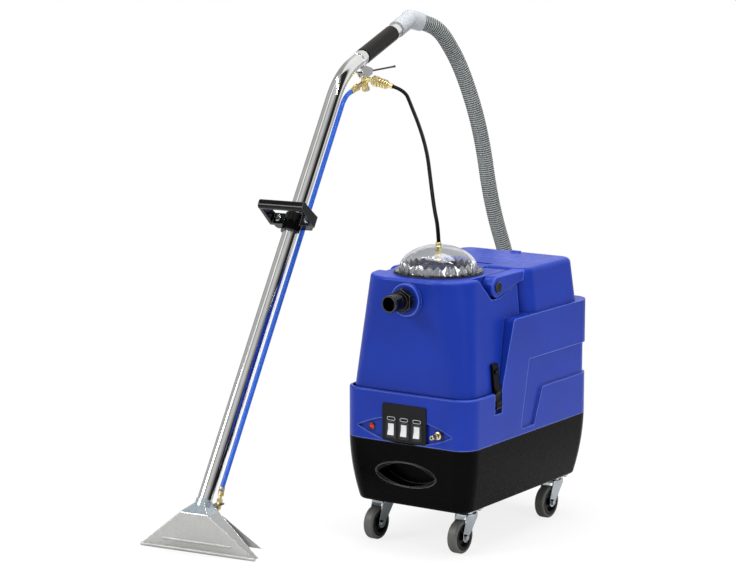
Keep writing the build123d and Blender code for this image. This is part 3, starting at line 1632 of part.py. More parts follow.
# ---------------------------------------------------------------- hoses
def machine_point(point):
    """A point of the wand's frame in the machine's frame."""
    turn = radians(wand_yaw)
    x = point.X * cos(turn) - point.Y * sin(turn)
    y = point.X * sin(turn) + point.Y * cos(turn)
    return Vector(wand_x + x, wand_y + y, point.Z)


def turn_at(points, index):
    """The angle between the runs before and after a corner, in degrees."""
    before = points[index] - points[index - 1]
    after = points[index + 1] - points[index]
    return before.get_angle(after)


def bend_radii(points):
    """At each corner, the arc that takes 45 % of the shorter run beside it."""
    radii = []
    for index in range(1, len(points) - 1):
        shorter = min((points[index] - points[index - 1]).length, (points[index + 1] - points[index]).length)
        radii.append(0.45 * shorter / tan(radians(turn_at(points, index)) / 2))
    return radii


def make_hose(name, points, diameter):
    """A hose along its rounded route; its bends are printed for checking."""
    radii = bend_radii(points)
    path = FilletPolyline(*points, radius=radii)
    hose = sweep(Plane(origin=points[0], z_dir=points[1] - points[0]) * Circle(diameter / 2), path)
    print(name, "bends", [round(r) for r in radii], "length", round(path.length))
    section = pi * diameter ** 2 / 4
    print("  volume over section times length", round(hose.volume / (section * path.length), 4))
    return hose


def coil_begin():
    """Where the vacuum hose comes down onto its coil."""
    angle = radians(coil_start)
    x = coil_x + coil_outer_radius * cos(angle)
    y = coil_y + coil_outer_radius * sin(angle)
    return Vector(x, y, vacuum_hose_diameter / 2)


def vacuum_hose_points():
    start = machine_point(cuff_end - cuff_out * (hose_socket - gap))
    lead = machine_point(cuff_end + cuff_out * hose_lead)
    return [start, lead] + [Vector(*p) for p in vacuum_hose_route] + [coil_begin()]


def solution_hose_points():
    start, end = coupler_line()
    along = (end - start).normalized()
    first = machine_point(end - along * (coupler_socket - gap))
    last = Vector(0, dome_y, dome_top_z + fitting_nut_height + gap)
    return [first] + [Vector(*p) for p in solution_hose_route] + [last]


def coil_arcs():
    """The coil's half turns, each a step tighter, then the last bend: radius and angle."""
    half_turns = int(2 * coil_turns)
    step = coil_pitch / 2
    arcs = [(coil_outer_radius - index * step, 180) for index in range(half_turns)]
    last = (2 * coil_turns - half_turns) * 180 - coil_last_turn / 2
    arcs.append((coil_outer_radius - half_turns * step, last))
    arcs.append((coil_last_radius, coil_last_turn))
    return arcs


def make_coil(diameter):
    """Flat clockwise coil on the floor; also gives its end point and the angle reached there."""
    z = vacuum_hose_diameter / 2
    point = coil_begin()
    angle = coil_start
    coil = None
    for radius, turn in coil_arcs():
        outward = Vector(cos(radians(angle)), sin(radians(angle)), 0)
        centre = point - outward * radius
        section = Plane(origin=point, z_dir=(outward.Y, -outward.X, 0)) * Circle(diameter / 2)
        axis = Axis((centre.X, centre.Y, z), (0, 0, -1))
        arc = revolve(section, axis, turn)
        coil = arc if coil is None else coil + arc
        angle -= turn
        point = centre + Vector(cos(radians(angle)), sin(radians(angle)), 0) * radius
    return coil, point, angle


def make_end_cuff():
    coil, end, angle = make_coil(vacuum_hose_diameter)
    along = Vector(sin(radians(angle)), -cos(radians(angle)), 0)
    lift = Vector(0, 0, end_cuff_diameter / 2 - vacuum_hose_diameter / 2)
    start = end + along * gap + lift
    tip = start + along * end_cuff_length
    cuff = rod(start, tip, end_cuff_diameter / 2)
    return cuff - rod(start + along * 6, tip + along, end_cuff_diameter / 2 - cuff_wall)


# ---------------------------------------------------------------- the whole machine
def caster_pieces():
    """Plates and bolts as one piece each; forks, hubs and tyres one per corner."""
    places = caster_places()
    plates = group([place * caster_plate() for place in places])
    bolts = []
    for place in places:
        bolts += [place * Pos(*spot, 0) * caster_bolt() for spot in bolt_spots()]
    pieces = {"caster_plates": plates, "caster_bolts": group(bolts)}
    for index, place in enumerate(places):
        number = index + 1
        fork = group([caster_fork(), caster_axle()])
        pieces[f"caster_fork_{number}"] = place * fork
        pieces[f"caster_hub_{number}"] = place * caster_hub()
        pieces[f"caster_tyre_{number}"] = place * caster_tyre()
    return pieces


def machine_pieces():
    pieces = {
        "base_tub": make_base_tub(),
        "body_shell": make_body_shell(),
        "control_plate": make_control_plate(),
        "switch_bezels": group([panel_front(x, z) * switch_frame() for x, z in switch_places()]),
    }
    for index, spot in enumerate(switch_places()):
        pieces[f"rocker_{index + 1}"] = panel_front(*spot) * rocker()
    pieces.update({
        "pilot_lamp": make_pilot_lamp(),
        "solution_nipple": make_solution_nipple(),
        "power_inlet": make_power_inlet(),
        "recovery_tank": make_recovery_tank(),
        "vacuum_inlet": make_vacuum_inlet(),
        "dome_gasket": make_dome_gasket(),
        "dome_lid": make_dome_lid(),
        "dome_fitting": make_dome_fitting(),
        "float_cage": make_float_cage(),
        "float_ball": make_float_ball(),
        "rear_hood": make_rear_hood(),
        "hinge_pins": make_hinge_pins(),
        "filler_lid": make_filler_lid(),
        "latch_strap_right": make_latch_strap(),
        "latch_strap_left": mirrored(make_latch_strap()),
        "latch_anchors": make_latch_anchors(),
        "latch_keepers": make_latch_keepers(),
        "vacuum_motor": make_vacuum_motor(),
        "motor_impeller": make_motor_impeller(),
        "solution_pump": make_solution_pump(),
    })
    return pieces


def wand_pieces():
    pieces = {
        "wand_tube": make_wand_tube(),
        "wand_head": make_wand_head(),
        "spray_shroud": make_spray_shroud(),
        "jet_bracket": make_jet_bracket(),
        "spray_jet": make_spray_jet(),
        "wand_solution_line": make_wand_solution_line(),
        "grip_sleeve": make_grip_sleeve(),
        "d_handle": make_d_handle(),
        "handle_clamp": make_handle_clamp(),
        "clamp_bolts": make_clamp_bolts(),
        "valve_bracket": make_valve_bracket(),
        "trigger_lever": make_trigger_lever(),
        "valve_body": make_valve_body(),
        "quick_coupler": make_quick_coupler(),
        "hose_cuff": make_hose_cuff(),
    }
    return {name: wand_place * shape for name, shape in pieces.items()}


def hose_pieces():
    return {
        "vacuum_hose": make_hose("vacuum_hose", vacuum_hose_points(), vacuum_hose_diameter),
        "vacuum_hose_coil": make_coil(vacuum_hose_diameter)[0],
        "hose_end_cuff": make_end_cuff(),
        "solution_hose": make_hose("solution_hose", solution_hose_points(), solution_hose_diameter),
    }


def footprint_shift(pieces):
    """The move that brings the middle of the pieces' footprint to the origin."""
    boxes = [shape.bounding_box() for shape in pieces.values()]
    x = (min(b.min.X for b in boxes) + max(b.max.X for b in boxes)) / 2
    y = (min(b.min.Y for b in boxes) + max(b.max.Y for b in boxes)) / 2
    return Pos(-x, -y, 0)


def all_pieces():
    """Every piece in its place, with the move that was applied to the machine's frame."""
    rigid = {**machine_pieces(), **caster_pieces(), **wand_pieces()}
    hoses = hose_pieces()
    shift = footprint_shift(rigid)
    placed = {name: shift * shape for name, shape in {**rigid, **hoses}.items()}
    return placed, shift


if __name__ == "__main__":
    os.makedirs("parts", exist_ok=True)
    placed, shift = all_pieces()
    print("shift", tuple(shift.position))
    for name, shape in placed.items():
        export_step(shape, f"parts/{name}.step")
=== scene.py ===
"""Looks of the portable carpet extractor: camera, hoses, materials and small trim around the CAD frame.

Lengths are in metres. Points written in the machine's own frame have the floor at z = 0, the machine's
centre at x = y = 0 and its front towards -Y; at() moves them into the row frame.
"""
from math import cos, pi, radians, sin

import bpy
from mathutils import Matrix, Vector
from mathutils.bvhtree import BVHTree


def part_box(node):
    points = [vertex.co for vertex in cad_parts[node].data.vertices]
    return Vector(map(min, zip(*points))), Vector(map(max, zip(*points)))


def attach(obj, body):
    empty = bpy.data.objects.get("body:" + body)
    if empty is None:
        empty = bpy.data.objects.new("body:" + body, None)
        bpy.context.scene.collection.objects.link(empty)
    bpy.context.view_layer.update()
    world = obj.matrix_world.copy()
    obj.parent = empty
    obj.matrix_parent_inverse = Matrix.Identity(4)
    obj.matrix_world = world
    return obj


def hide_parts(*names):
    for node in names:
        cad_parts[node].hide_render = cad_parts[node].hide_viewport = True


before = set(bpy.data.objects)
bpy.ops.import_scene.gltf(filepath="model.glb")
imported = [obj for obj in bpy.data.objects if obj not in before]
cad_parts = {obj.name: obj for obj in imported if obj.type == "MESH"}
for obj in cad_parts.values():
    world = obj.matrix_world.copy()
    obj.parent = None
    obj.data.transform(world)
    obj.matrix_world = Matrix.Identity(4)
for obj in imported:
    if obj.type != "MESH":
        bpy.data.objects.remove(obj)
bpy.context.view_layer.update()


def middle(node):
    low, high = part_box(node)
    return (Vector(low) + Vector(high)) / 2


tub_middle = middle("base_tub")
MACHINE = Vector((tub_middle.x, tub_middle.y, 0))


def at(x, y, z):
    """A point of the machine's frame, given in millimetres, in the row frame."""
    return MACHINE + Vector((x, y, z)) / 1000


def in_metres(outline):
    """An outline of pairs in millimetres, in metres."""
    return [(a / 1000, b / 1000) for a, b in outline]


# ---------------------------------------------------------------- camera
CAMERA_AT = (3306.1, -5331.0, 1657.65)
CAMERA_AZIMUTH = 34.064
CAMERA_DOWN = 9.600
CAMERA_LENS = 128.145


def make_camera():
    turn = radians(CAMERA_AZIMUTH)
    down = radians(CAMERA_DOWN)
    right = Vector((cos(turn), sin(turn), 0))
    ahead = Vector((-sin(turn) * cos(down), cos(turn) * cos(down), -sin(down)))
    above = right.cross(ahead)
    data = bpy.data.cameras.new("camera")
    data.sensor_fit = "HORIZONTAL"
    data.sensor_width = 36
    data.lens = CAMERA_LENS
    data.clip_end = 100
    camera = bpy.data.objects.new("camera", data)
    bpy.context.collection.objects.link(camera)
    turned = Matrix((right, above, -ahead)).transposed().to_4x4()
    camera.matrix_world = Matrix.Translation(at(*CAMERA_AT)) @ turned
    bpy.context.scene.camera = camera


make_camera()


# ---------------------------------------------------------------- cords
HOSE_DIAMETER = 0.043
HOSE_SIDES = 28
HOSE_STEP = 0.0012
# How far each step along a rib lies below its top, and which of the steps are the groove, painted dark as
# shade.
RIB_DIPS = (0, 0.0004, 0.0017, 0.0017, 0.0004)
RIB_GROOVE = (2, 3)
SOLUTION_HOSE_DIAMETER = 0.0095
SOLUTION_HOSE_SIDES = 16
SOLUTION_HOSE_STEP = 0.006
HOSE_START = [(-501.9, 535.5, 1190.4), (-491.4, 559.2, 1183.9)]
HOSE_ROUTE = [
    (-476, 589, 1170), (-464, 617, 1141), (-447, 676, 1053), (-418, 727, 886), (-408, 767, 674),
    (-377, 824, 488), (-380, 853, 270), (-380, 857, 110), (-307, 807, 21.5),
]
COIL_CENTRE = (-350, 525)
COIL_RADIUS = 258
COIL_START = 56.1
COIL_PITCH = 44.4
COIL_HALF_TURNS = 3
COIL_TURNS = 1.8
COIL_LAST_RADIUS = 130
COIL_LAST_TURN = 60
COIL_STEP = 20
SOLUTION_START = (-409.5, 269.7, 1042.2)
SOLUTION_ROUTE = [
    (-371, 276, 1033), (-318, 224, 1001), (-225, 125, 955), (-142, 28, 908), (-80, -54, 857),
    (-32, -112, 797), (-2, -142, 760),
]
DOME_TOP = (0, -141.9, 723.3)


def heading(angle):
    """A unit vector on the floor, this many degrees round from +X."""
    return Vector((cos(radians(angle)), sin(radians(angle))))


def coil_points():
    """The coil's turns: half circles a step tighter each time, then the bend into the far cuff."""
    turns = [(COIL_RADIUS - i * COIL_PITCH / 2, 180) for i in range(COIL_HALF_TURNS)]
    rest = (2 * COIL_TURNS - COIL_HALF_TURNS) * 180 - COIL_LAST_TURN / 2
    turns.append((COIL_RADIUS - COIL_HALF_TURNS * COIL_PITCH / 2, rest))
    turns.append((COIL_LAST_RADIUS, COIL_LAST_TURN))
    angle = COIL_START
    point = Vector(COIL_CENTRE) + COIL_RADIUS * heading(angle)
    points = [point]
    for radius, turn in turns:
        centre = point - radius * heading(angle)
        steps = max(2, round(turn / COIL_STEP))
        # A spline of this order runs inside its points, so they stand out by as much.
        reach = radius * (1 + (radians(turn / steps) ** 2) / 8)
        for step in range(1, steps + 1):
            points.append(centre + reach * heading(angle - turn * (step - 0.5) / steps))
        angle -= turn
        point = centre + radius * heading(angle)
    points.append(point)
    z = HOSE_DIAMETER * 1000 / 2
    return [(p.x, p.y, z) for p in points]


def spline(name, points):
    """A smooth open NURBS curve with these control points, given in machine millimetres."""
    curve = bpy.data.curves.new(name, "CURVE")
    curve.dimensions = "3D"
    curve.resolution_u = 12
    line = curve.splines.new("NURBS")
    line.points.add(len(points) - 1)
    for spot, point in zip(line.points, points):
        spot.co = (*at(*point), 1)
    line.order_u = 3
    line.use_endpoint_u = True
    piece = bpy.data.objects.new(name, curve)
    bpy.context.collection.objects.link(piece)
    return piece


def followed(points):
    """The evaluated points of the NURBS spline with these control points, in the row frame."""
    line = spline("route", points)
    mesh = bpy.data.meshes.new_from_object(line)
    route = [v.co.copy() for v in mesh.vertices]
    bpy.data.objects.remove(line)
    bpy.data.meshes.remove(mesh)
    return route


def even(route, step):
    """Points along a line at even steps."""
    marks = [0.0]
    for a, b in zip(route, route[1:]):
        marks.append(marks[-1] + (b - a).length)
    count = max(2, round(marks[-1] / step))
    result = []
    k = 0
    for i in range(count + 1):
        want = marks[-1] * i / count
        while k < len(marks) - 2 and marks[k + 1] < want:
            k += 1
        share = (want - marks[k]) / (marks[k + 1] - marks[k])
        result.append(route[k].lerp(route[k + 1], min(1, share)))
    return result, marks[-1]


def mesh_piece(name, verts, faces, smooth=True):
    mesh = bpy.data.meshes.new(name)
    mesh.from_pydata(verts, [], faces)
    mesh.validate()
    if smooth:
        mesh.shade_smooth()
    piece = bpy.data.objects.new(name, mesh)
    bpy.context.collection.objects.link(piece)
    return piece


def swept_tube(name, route, radii, step, sides):
    """A tube swept along a route without twisting, its radius taking these values in turn at each step."""
    points, length = even(route, step)
    verts, faces = [], []
    ahead = (points[1] - points[0]).normalized()
    across = ahead.orthogonal().normalized()
    for i, point in enumerate(points):
        new = (points[min(i + 1, len(points) - 1)] - points[max(i - 1, 0)]).normalized()
        across = ahead.rotation_difference(new) @ across
        across = (across - new * across.dot(new)).normalized()
        ahead = new
        up = ahead.cross(across)
        for k in range(sides):
            turn = 2 * pi * k / sides
            verts.append(point + radii[i % len(radii)] * (across * cos(turn) + up * sin(turn)))
    for i in range(len(points) - 1):
        for k in range(sides):
            n = (k + 1) % sides
            faces.append((i * sides + k, i * sides + n, (i + 1) * sides + n, (i + 1) * sides + k))
    last = (len(points) - 1) * sides
    faces.append(tuple(range(sides))[::-1])
    faces.append(tuple(last + k for k in range(sides)))
    return mesh_piece(name, verts, faces), length


hose_points = HOSE_START + HOSE_ROUTE + coil_points()
hose_route = followed(hose_points)
hose_radii = [HOSE_DIAMETER / 2 - dip for dip in RIB_DIPS]
vacuum_hose, hose_length = swept_tube("vacuum_hose_ribbed", hose_route, hose_radii, HOSE_STEP, HOSE_SIDES)
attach(vacuum_hose, "machine")
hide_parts("vacuum_hose", "vacuum_hose_coil")

solution_points = [SOLUTION_START] + SOLUTION_ROUTE + [DOME_TOP]
solution_route = followed(solution_points)
solution_radii = [SOLUTION_HOSE_DIAMETER / 2]
solution_hose, solution_length = swept_tube("solution_hose_black", solution_route, solution_radii,
                                            SOLUTION_HOSE_STEP, SOLUTION_HOSE_SIDES)
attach(solution_hose, "machine")
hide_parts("solution_hose")


# ---------------------------------------------------------------- small mouldings
def closed_ring(name, sections, smooth=True):
    """A piece whose closed sections, each a list of as many points, follow one another round in a ring."""
    count = len(sections[0])
    faces = []
    for k in range(len(sections)):
        here, there = k * count, (k + 1) % len(sections) * count
        for i in range(count):
            j = (i + 1) % count
            faces.append((here + i, here + j, there + j, there + i))
    return mesh_piece(name, [point for section in sections for point in section], faces, smooth)


def lathed(name, centre, axis, profile, sides=64):
    """A ring turned about an axis through centre, from a closed outline of (radius, along) pairs."""
    tilt = Vector((0, 0, 1)).rotation_difference(Vector(axis)).to_matrix()
    count = len(profile)
    verts, faces = [], []
    for k in range(sides):
        turn = 2 * pi * k / sides
        n = (k + 1) % sides
        for i, (radius, along) in enumerate(profile):
            j = (i + 1) % count
            verts.append(centre + tilt @ Vector((radius * cos(turn), radius * sin(turn), along)))
            faces.append((k * count + i, n * count + i, n * count + j, k * count + j))
    return mesh_piece(name, verts, faces)


def roll(name, centre, length, radius):
    """A round-ended bar lying along Y."""
    reach = Vector((0, length / 2, 0))
    rounding = [0.8, 0.95]
    steps = 20
    shares = rounding + [1] * (steps + 1 - 2 * len(rounding)) + rounding[::-1]
    return swept_tube(name, [centre - reach, centre + reach], [radius * share for share in shares],
                      length / steps, 24)[0]


def front_of(node, spots):
    """The points where lines running back along Y, from 2 m in front, first meet a node at these (x, z)."""
    tree = BVHTree.FromObject(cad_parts[node], bpy.context.evaluated_depsgraph_get())
    return [tree.ray_cast(Vector((x, -2, z)), Vector((0, 1, 0)))[0] for x, z in spots]


# The oval lip around the hand recess, half sunk in the tub's front.
RECESS_WIDTH, RECESS_HEIGHT = 0.169, 0.0605
RECESS_Z = 184
RIM_RADIUS = 0.0022
RIM_FLATNESS = 0.7
RIM_STEPS = 96
RIM_SIDES = 12
recess = at(0, 0, RECESS_Z)
rim = []
for k in range(RIM_STEPS):
    turn = 2 * pi * k / RIM_STEPS
    rim.append((recess.x + RECESS_WIDTH / 2 * cos(turn), recess.z + RECESS_HEIGHT / 2 * sin(turn)))
forward = Vector((0, -RIM_FLATNESS, 0))
turns = [2 * pi * i / RIM_SIDES for i in range(RIM_SIDES)]
rim_sections = []
for point in front_of("base_tub", rim):
    outward = (point - recess) * Vector((1 / RECESS_WIDTH ** 2, 0, 1 / RECESS_HEIGHT ** 2))
    outward = Vector((outward.x, 0, outward.z)).normalized()
    rim_sections.append([point + RIM_RADIUS * (outward * cos(turn) + forward * sin(turn)) for turn in turns])
recess_lip = closed_ring("recess_lip", rim_sections)
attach(recess_lip, "machine")

# The ring around the pilot lamp, on the plate that the lamp stands this far out of; its black stands for the
# lamp's bezel and for painted shade around the lamp.
LAMP_PROUD = 0.005
LAMP_RING = [(6.15, -0.4), (9.4, -0.4), (9.4, 1.4), (8.8, 2.2), (7.2, 2.4), (6.15, 1.7)]
lamp_foot = middle("pilot_lamp")
lamp_foot.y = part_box("pilot_lamp")[0][1] + LAMP_PROUD
lamp_bezel_and_shade = lathed("lamp_bezel_and_shade", lamp_foot, (0, -1, 0), in_metres(LAMP_RING))
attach(lamp_bezel_and_shade, "machine")

# The facets moulded around the dome's foot: a ring of wedges against its inside, every second one shallow.
DOME_REACH, DOME_RISE = 0.0905, 0.0555
FLANGE = 0.004
FACETS = 26
# Each wedge's depth, and the height of its top above the flange.
DEEP_WEDGE, SHALLOW_WEDGE = (0.007, 0.009), (0.0015, 0.019)
# The wedges' foot below the flange's top, and their gap from the dome's inside.
FACET_FOOT, FACET_GAP = -0.003, 0.0004
dome_low, dome_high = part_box("dome_lid")
dome_centre = (dome_low[0] + dome_high[0]) / 2, (dome_low[1] + dome_high[1]) / 2
dome_foot = Vector((*dome_centre, dome_low[2] + FLANGE))


def inside_dome(height, turn, depth):
    """A point at a height above the dome's flange, a depth in from the dome's inside."""
    reach = DOME_REACH * (1 - (max(height, 0) / DOME_RISE) ** 2) ** 0.5 - depth
    return dome_foot + Vector((reach * cos(turn), reach * sin(turn), height))


facet_sections = []
for k in range(2 * FACETS):
    turn = pi * k / FACETS
    leant = turn + 0.5 * pi / FACETS
    depth, top = SHALLOW_WEDGE if k % 2 else DEEP_WEDGE
    facet_sections.append([
        inside_dome(FACET_FOOT, turn, depth), inside_dome(top, leant, depth),
        inside_dome(top, leant, FACET_GAP), inside_dome(FACET_FOOT, turn, FACET_GAP),
    ])
dome_facets = closed_ring("dome_facets", facet_sections, smooth=False)
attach(dome_facets, "dome")

# Black cover rings on both faces of each wheel.
COVER = [(24.7, 12.2), (32.5, 12.2), (32.5, 12.6), (31.6, 13.1), (28.5, 13.0), (25.5, 12.5)]
WHEELS = ["wheel_front_left", "wheel_front_right", "wheel_rear_left", "wheel_rear_right"]
covers = []
for number, wheel in enumerate(WHEELS, 1):
    hub = middle(f"caster_tyre_{number}")
    for side, axis in (("right", (1, 0, 0)), ("left", (-1, 0, 0))):
        cover = lathed(f"wheel_cover_{number}_{side}", hub, axis, in_metres(COVER))
        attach(cover, wheel)
        covers.append(cover)

# Two rolls across each latch strap, where a finger pulls it: name, x, z and radius in millimetres.
ROLLS = [("foot", 175.6, 357, 5.1), ("knee", 174.6, 384, 6.1)]
ROLL_Y = -154.8
ROLL_LENGTH = 0.0254
latch_rolls = []
for side, sign in (("right", 1), ("left", -1)):
    for name, x, z, radius in ROLLS:
        piece = roll(f"latch_{name}_{side}", at(sign * x, ROLL_Y, z), ROLL_LENGTH, radius / 1000)
        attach(piece, f"latch_{side}")
        latch_rolls.append(piece)


# ---------------------------------------------------------------- weld beads
WAND_AT = (-394.0, -579.7)
WAND_YAW = 6.16
BEAD_RADIUS = 0.0014
BEAD_LUMPS = (1, 0.86, 0.93, 0.8)
BEAD_STEP = 0.0035
LIP_FRONT, LIP_BACK = (155.8, 1.2, 5.6), (154, 15.2, 5.6)
SHOULDER_FRONT, SHOULDER_BACK = (37.2, -15.9, 99.6), (33, 46.4, 91.6)
NECK_FRONT, NECK_BACK = (9.5, 16, 121), (17.1, 47.4, 104)


def wand_point(x, y, z):
    """A point of the wand's own frame, in millimetres, in the row frame."""
    turn = radians(WAND_YAW)
    return at(WAND_AT[0] + x * cos(turn) - y * sin(turn), WAND_AT[1] + x * sin(turn) + y * cos(turn), z)


def bead(name, start, end):
    """A weld bead between two points of the wand's frame, slightly lumpy along its length."""
    radii = [BEAD_RADIUS * lump for lump in BEAD_LUMPS]
    piece = swept_tube(name, [wand_point(*start), wand_point(*end)], radii, BEAD_STEP, 10)[0]
    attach(piece, "machine")
    return piece


def mirrored(point):
    return (-point[0], point[1], point[2])


FOLDS = [
    ("side", LIP_FRONT, SHOULDER_FRONT), ("back", LIP_BACK, SHOULDER_BACK),
    ("neck", SHOULDER_FRONT, NECK_FRONT), ("cheek", SHOULDER_FRONT, SHOULDER_BACK),
    ("nape", SHOULDER_BACK, NECK_BACK),
]
beads = [bead("bead_shoulder", mirrored(SHOULDER_FRONT), SHOULDER_FRONT)]
for fold, start, end in FOLDS:
    beads.append(bead(f"bead_{fold}_right", start, end))
    beads.append(bead(f"bead_{fold}_left", mirrored(start), mirrored(end)))


# ---------------------------------------------------------------- printed marks
PILL_WIDTH, PILL_HEIGHT = 0.0225, 0.0085
PILL_LINE = 0.0009
PILL_LIFT = 0.00015
PILL_ABOVE_ROCKER = 0.0115


def pill_outline(name, centre, width, height, line, lift):
    """A flat stadium-shaped outline facing -Y, standing a little proud of the plate it is printed on."""
    outer, inner = [], []
    steps = 12
    for side in (1, -1):
        for k in range(steps + 1):
            turn = pi * k / steps - pi / 2
            across, up = side * cos(turn), side * sin(turn)
            middle_x = side * (width - height) / 2
            outer.append((middle_x + across * height / 2, up * height / 2))
            inner.append((middle_x + across * (height / 2 - line), up * (height / 2 - line)))
    count = len(outer)
    verts = []
    for y in (centre.y - lift, centre.y):
        for x, z in outer + inner:
            verts.append((centre.x + x, y, centre.z + z))
    faces = []
    for k in range(count):
        n = (k + 1) % count
        faces.append((k, n, count + n, count + k))
        faces.append((2 * count + n, 2 * count + k, k, n)[::-1])
        faces.append((3 * count + k, 3 * count + n, count + n, count + k)[::-1])
    return mesh_piece(name, verts, faces, smooth=False)


plate_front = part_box("control_plate")[0][1]
pills = []
for index in (1, 2, 3):
    low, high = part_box(f"rocker_{index}")
    spot = Vector(((low[0] + high[0]) / 2, plate_front, high[2] + PILL_ABOVE_ROCKER))
    pill = pill_outline(f"plate_pill_{index}", spot, PILL_WIDTH, PILL_HEIGHT, PILL_LINE, PILL_LIFT)
    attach(pill, "machine")
    pills.append(pill)


# ---------------------------------------------------------------- materials
def map_range(tree, value, from_low, from_high, low, high):
    """A socket's value carried from one range to another, and held inside the second."""
    node = tree.nodes.new("ShaderNodeMapRange")
    for socket, number in zip(("From Min", "From Max", "To Min", "To Max"), (from_low, from_high, low, high)):
        node.inputs[socket].default_value = number
    tree.links.new(value, node.inputs["Value"])
    return node.outputs["Result"]


class Surface:
    """A procedural material: one Principled shader, with named helpers for its texture nodes."""

    def __init__(self, name, colour, rough, **sockets):
        self.material = bpy.data.materials.new(name)
        self.material.use_nodes = True
        self.nodes = self.material.node_tree.nodes
        self.links = self.material.node_tree.links
        self.shader = self.nodes["Principled BSDF"]
        self.shader.inputs["Base Color"].default_value = (*colour, 1)
        self.shader.inputs["Roughness"].default_value = rough
        for socket, value in sockets.items():
            self.shader.inputs[socket.replace("_", " ")].default_value = value
        self.place = self.nodes.new("ShaderNodeTexCoord").outputs["Object"]
        self.normal = None

    def noise(self, scale, detail=3.0, stretch=(1, 1, 1)):
        source = self.place
        if stretch != (1, 1, 1):
            mapping = self.nodes.new("ShaderNodeMapping")
            mapping.inputs["Scale"].default_value = stretch
            self.links.new(source, mapping.inputs["Vector"])
            source = mapping.outputs["Vector"]
        node = self.nodes.new("ShaderNodeTexNoise")
        node.inputs["Scale"].default_value = scale
        node.inputs["Detail"].default_value = detail
        self.links.new(source, node.inputs["Vector"])
        return node.outputs["Fac"]

    def ramp(self, value, low, high, from_low=0.3, from_high=0.7):
        """value carried from one range to another."""
        return map_range(self.material.node_tree, value, from_low, from_high, low, high)

    def mix(self, share, a, b):
        """Colours a and b, each a tuple or a socket, mixed by a share."""
        node = self.nodes.new("ShaderNodeMix")
        node.data_type = "RGBA"
        for socket, value in ((node.inputs[6], a), (node.inputs[7], b)):
            if isinstance(value, tuple):
                socket.default_value = (*value, 1)
            else:
                self.links.new(value, socket)
        self.links.new(share, node.inputs[0])
        return node.outputs[2]

    def math(self, operation, a, b=None):
        """One arithmetic step; a is a socket and b a number or a socket."""
        node = self.nodes.new("ShaderNodeMath")
        node.operation = operation
        self.links.new(a, node.inputs[0])
        if isinstance(b, float):
            node.inputs[1].default_value = b
        elif b is not None:
            self.links.new(b, node.inputs[1])
        return node.outputs[0]

    def paint(self, colour):
        self.links.new(colour, self.shader.inputs["Base Color"])

    def roughen(self, value):
        self.links.new(value, self.shader.inputs["Roughness"])

    def round_edges(self, radius):
        node = self.nodes.new("ShaderNodeBevel")
        node.samples = 6
        node.inputs["Radius"].default_value = radius
        self.normal = node.outputs["Normal"]
        self.links.new(self.normal, self.shader.inputs["Normal"])

    def bump(self, height, depth):
        node = self.nodes.new("ShaderNodeBump")
        node.inputs["Distance"].default_value = depth
        node.inputs["Strength"].default_value = 1.0
        self.links.new(height, node.inputs["Height"])
        if self.normal:
            self.links.new(self.normal, node.inputs["Normal"])
        self.normal = node.outputs["Normal"]
        self.links.new(self.normal, self.shader.inputs["Normal"])

    def edges(self, radius, low=0.003, high=0.04):
        """A share that rises within this radius of the mesh's edges, as the rounded normal leans away: the
        mask of the painted edge highlights.
        """
        bevel = self.nodes.new("ShaderNodeBevel")
        bevel.samples = 4
        bevel.inputs["Radius"].default_value = radius
        geometry = self.nodes.new("ShaderNodeNewGeometry")
        dot = self.nodes.new("ShaderNodeVectorMath")
        dot.operation = "DOT_PRODUCT"
        self.links.new(bevel.outputs["Normal"], dot.inputs[0])
        self.links.new(geometry.outputs["Normal"], dot.inputs[1])
        return self.ramp(dot.outputs["Value"], 0, 1, 1 - low, 1 - high)

    def painted_gap_shade(self, reach):
        """A share of painted shade that rises where other faces stand within this reach."""
        node = self.nodes.new("ShaderNodeAmbientOcclusion")
        node.samples = 4
        node.inputs["Distance"].default_value = reach
        return self.ramp(node.outputs["AO"], 1, 0, 0.25, 0.85)


def shade(colour, factor):
    return tuple(min(1.0, c * factor) for c in colour)


def moulded(name, colour, rough, grain=900.0, depth=0.00006, edge=0.0015, vary=0.12, edge_highlight=None, gap_shade_reach=None,
            **sockets):
    """Moulded plastic or rubber, mottled, with a skin texture and soft edges.

    Its edges are painted paler, as a highlight, where a highlight colour is given, and its gaps painted
    darker, as shade, within the reach given for that.
    """
    s = Surface(name, colour, rough, **sockets)
    skin = s.mix(s.ramp(s.noise(9, 4), 0, 1), shade(colour, 1 - vary), shade(colour, 1 + vary))
    # Painted highlight: a paler colour on the edges.
    if edge_highlight:
        skin = s.mix(s.edges(edge), skin, edge_highlight)
    # Painted shade: the colour darkened where other faces stand near.
    if gap_shade_reach:
        skin = s.mix(s.painted_gap_shade(gap_shade_reach), skin, shade(colour, 0.12))
    s.paint(skin)
    s.roughen(s.ramp(s.noise(60, 3), rough * 0.88, rough * 1.15))
    if edge:
        s.round_edges(edge)
    s.bump(s.noise(grain, 2), depth)
    return s.material


def metal(name, colour, rough, stretch=(1, 1, 1), grain=700.0, depth=0.00002, vary=0.06, edge=0.0, edge_highlight=None,
          share=1.0, **sockets):
    """Bare or plated metal, with its grain drawn out along one way, and perhaps a paler colour painted on its
    edges as a highlight.
    """
    s = Surface(name, colour, rough, Metallic=share, **sockets)
    skin = s.mix(s.ramp(s.noise(25, 3), 0, 1), shade(colour, 1 - vary), shade(colour, 1 + vary))
    # Painted highlight: a paler colour on the edges, where one is given.
    s.paint(s.mix(s.edges(edge), skin, edge_highlight) if edge_highlight else skin)
    s.roughen(s.ramp(s.noise(grain / 4, 3, stretch), rough * 0.75, rough * 1.3))
    if edge:
        s.round_edges(edge)
    s.bump(s.noise(grain, 2, stretch), depth)
    return s.material


HEAD_PALE, HEAD_DARK, NECK_BLUISH = (0.46, 0.455, 0.44), (0.34, 0.338, 0.325), (0.36, 0.42, 0.46)
SHOULDER_SLOPE = 0.125


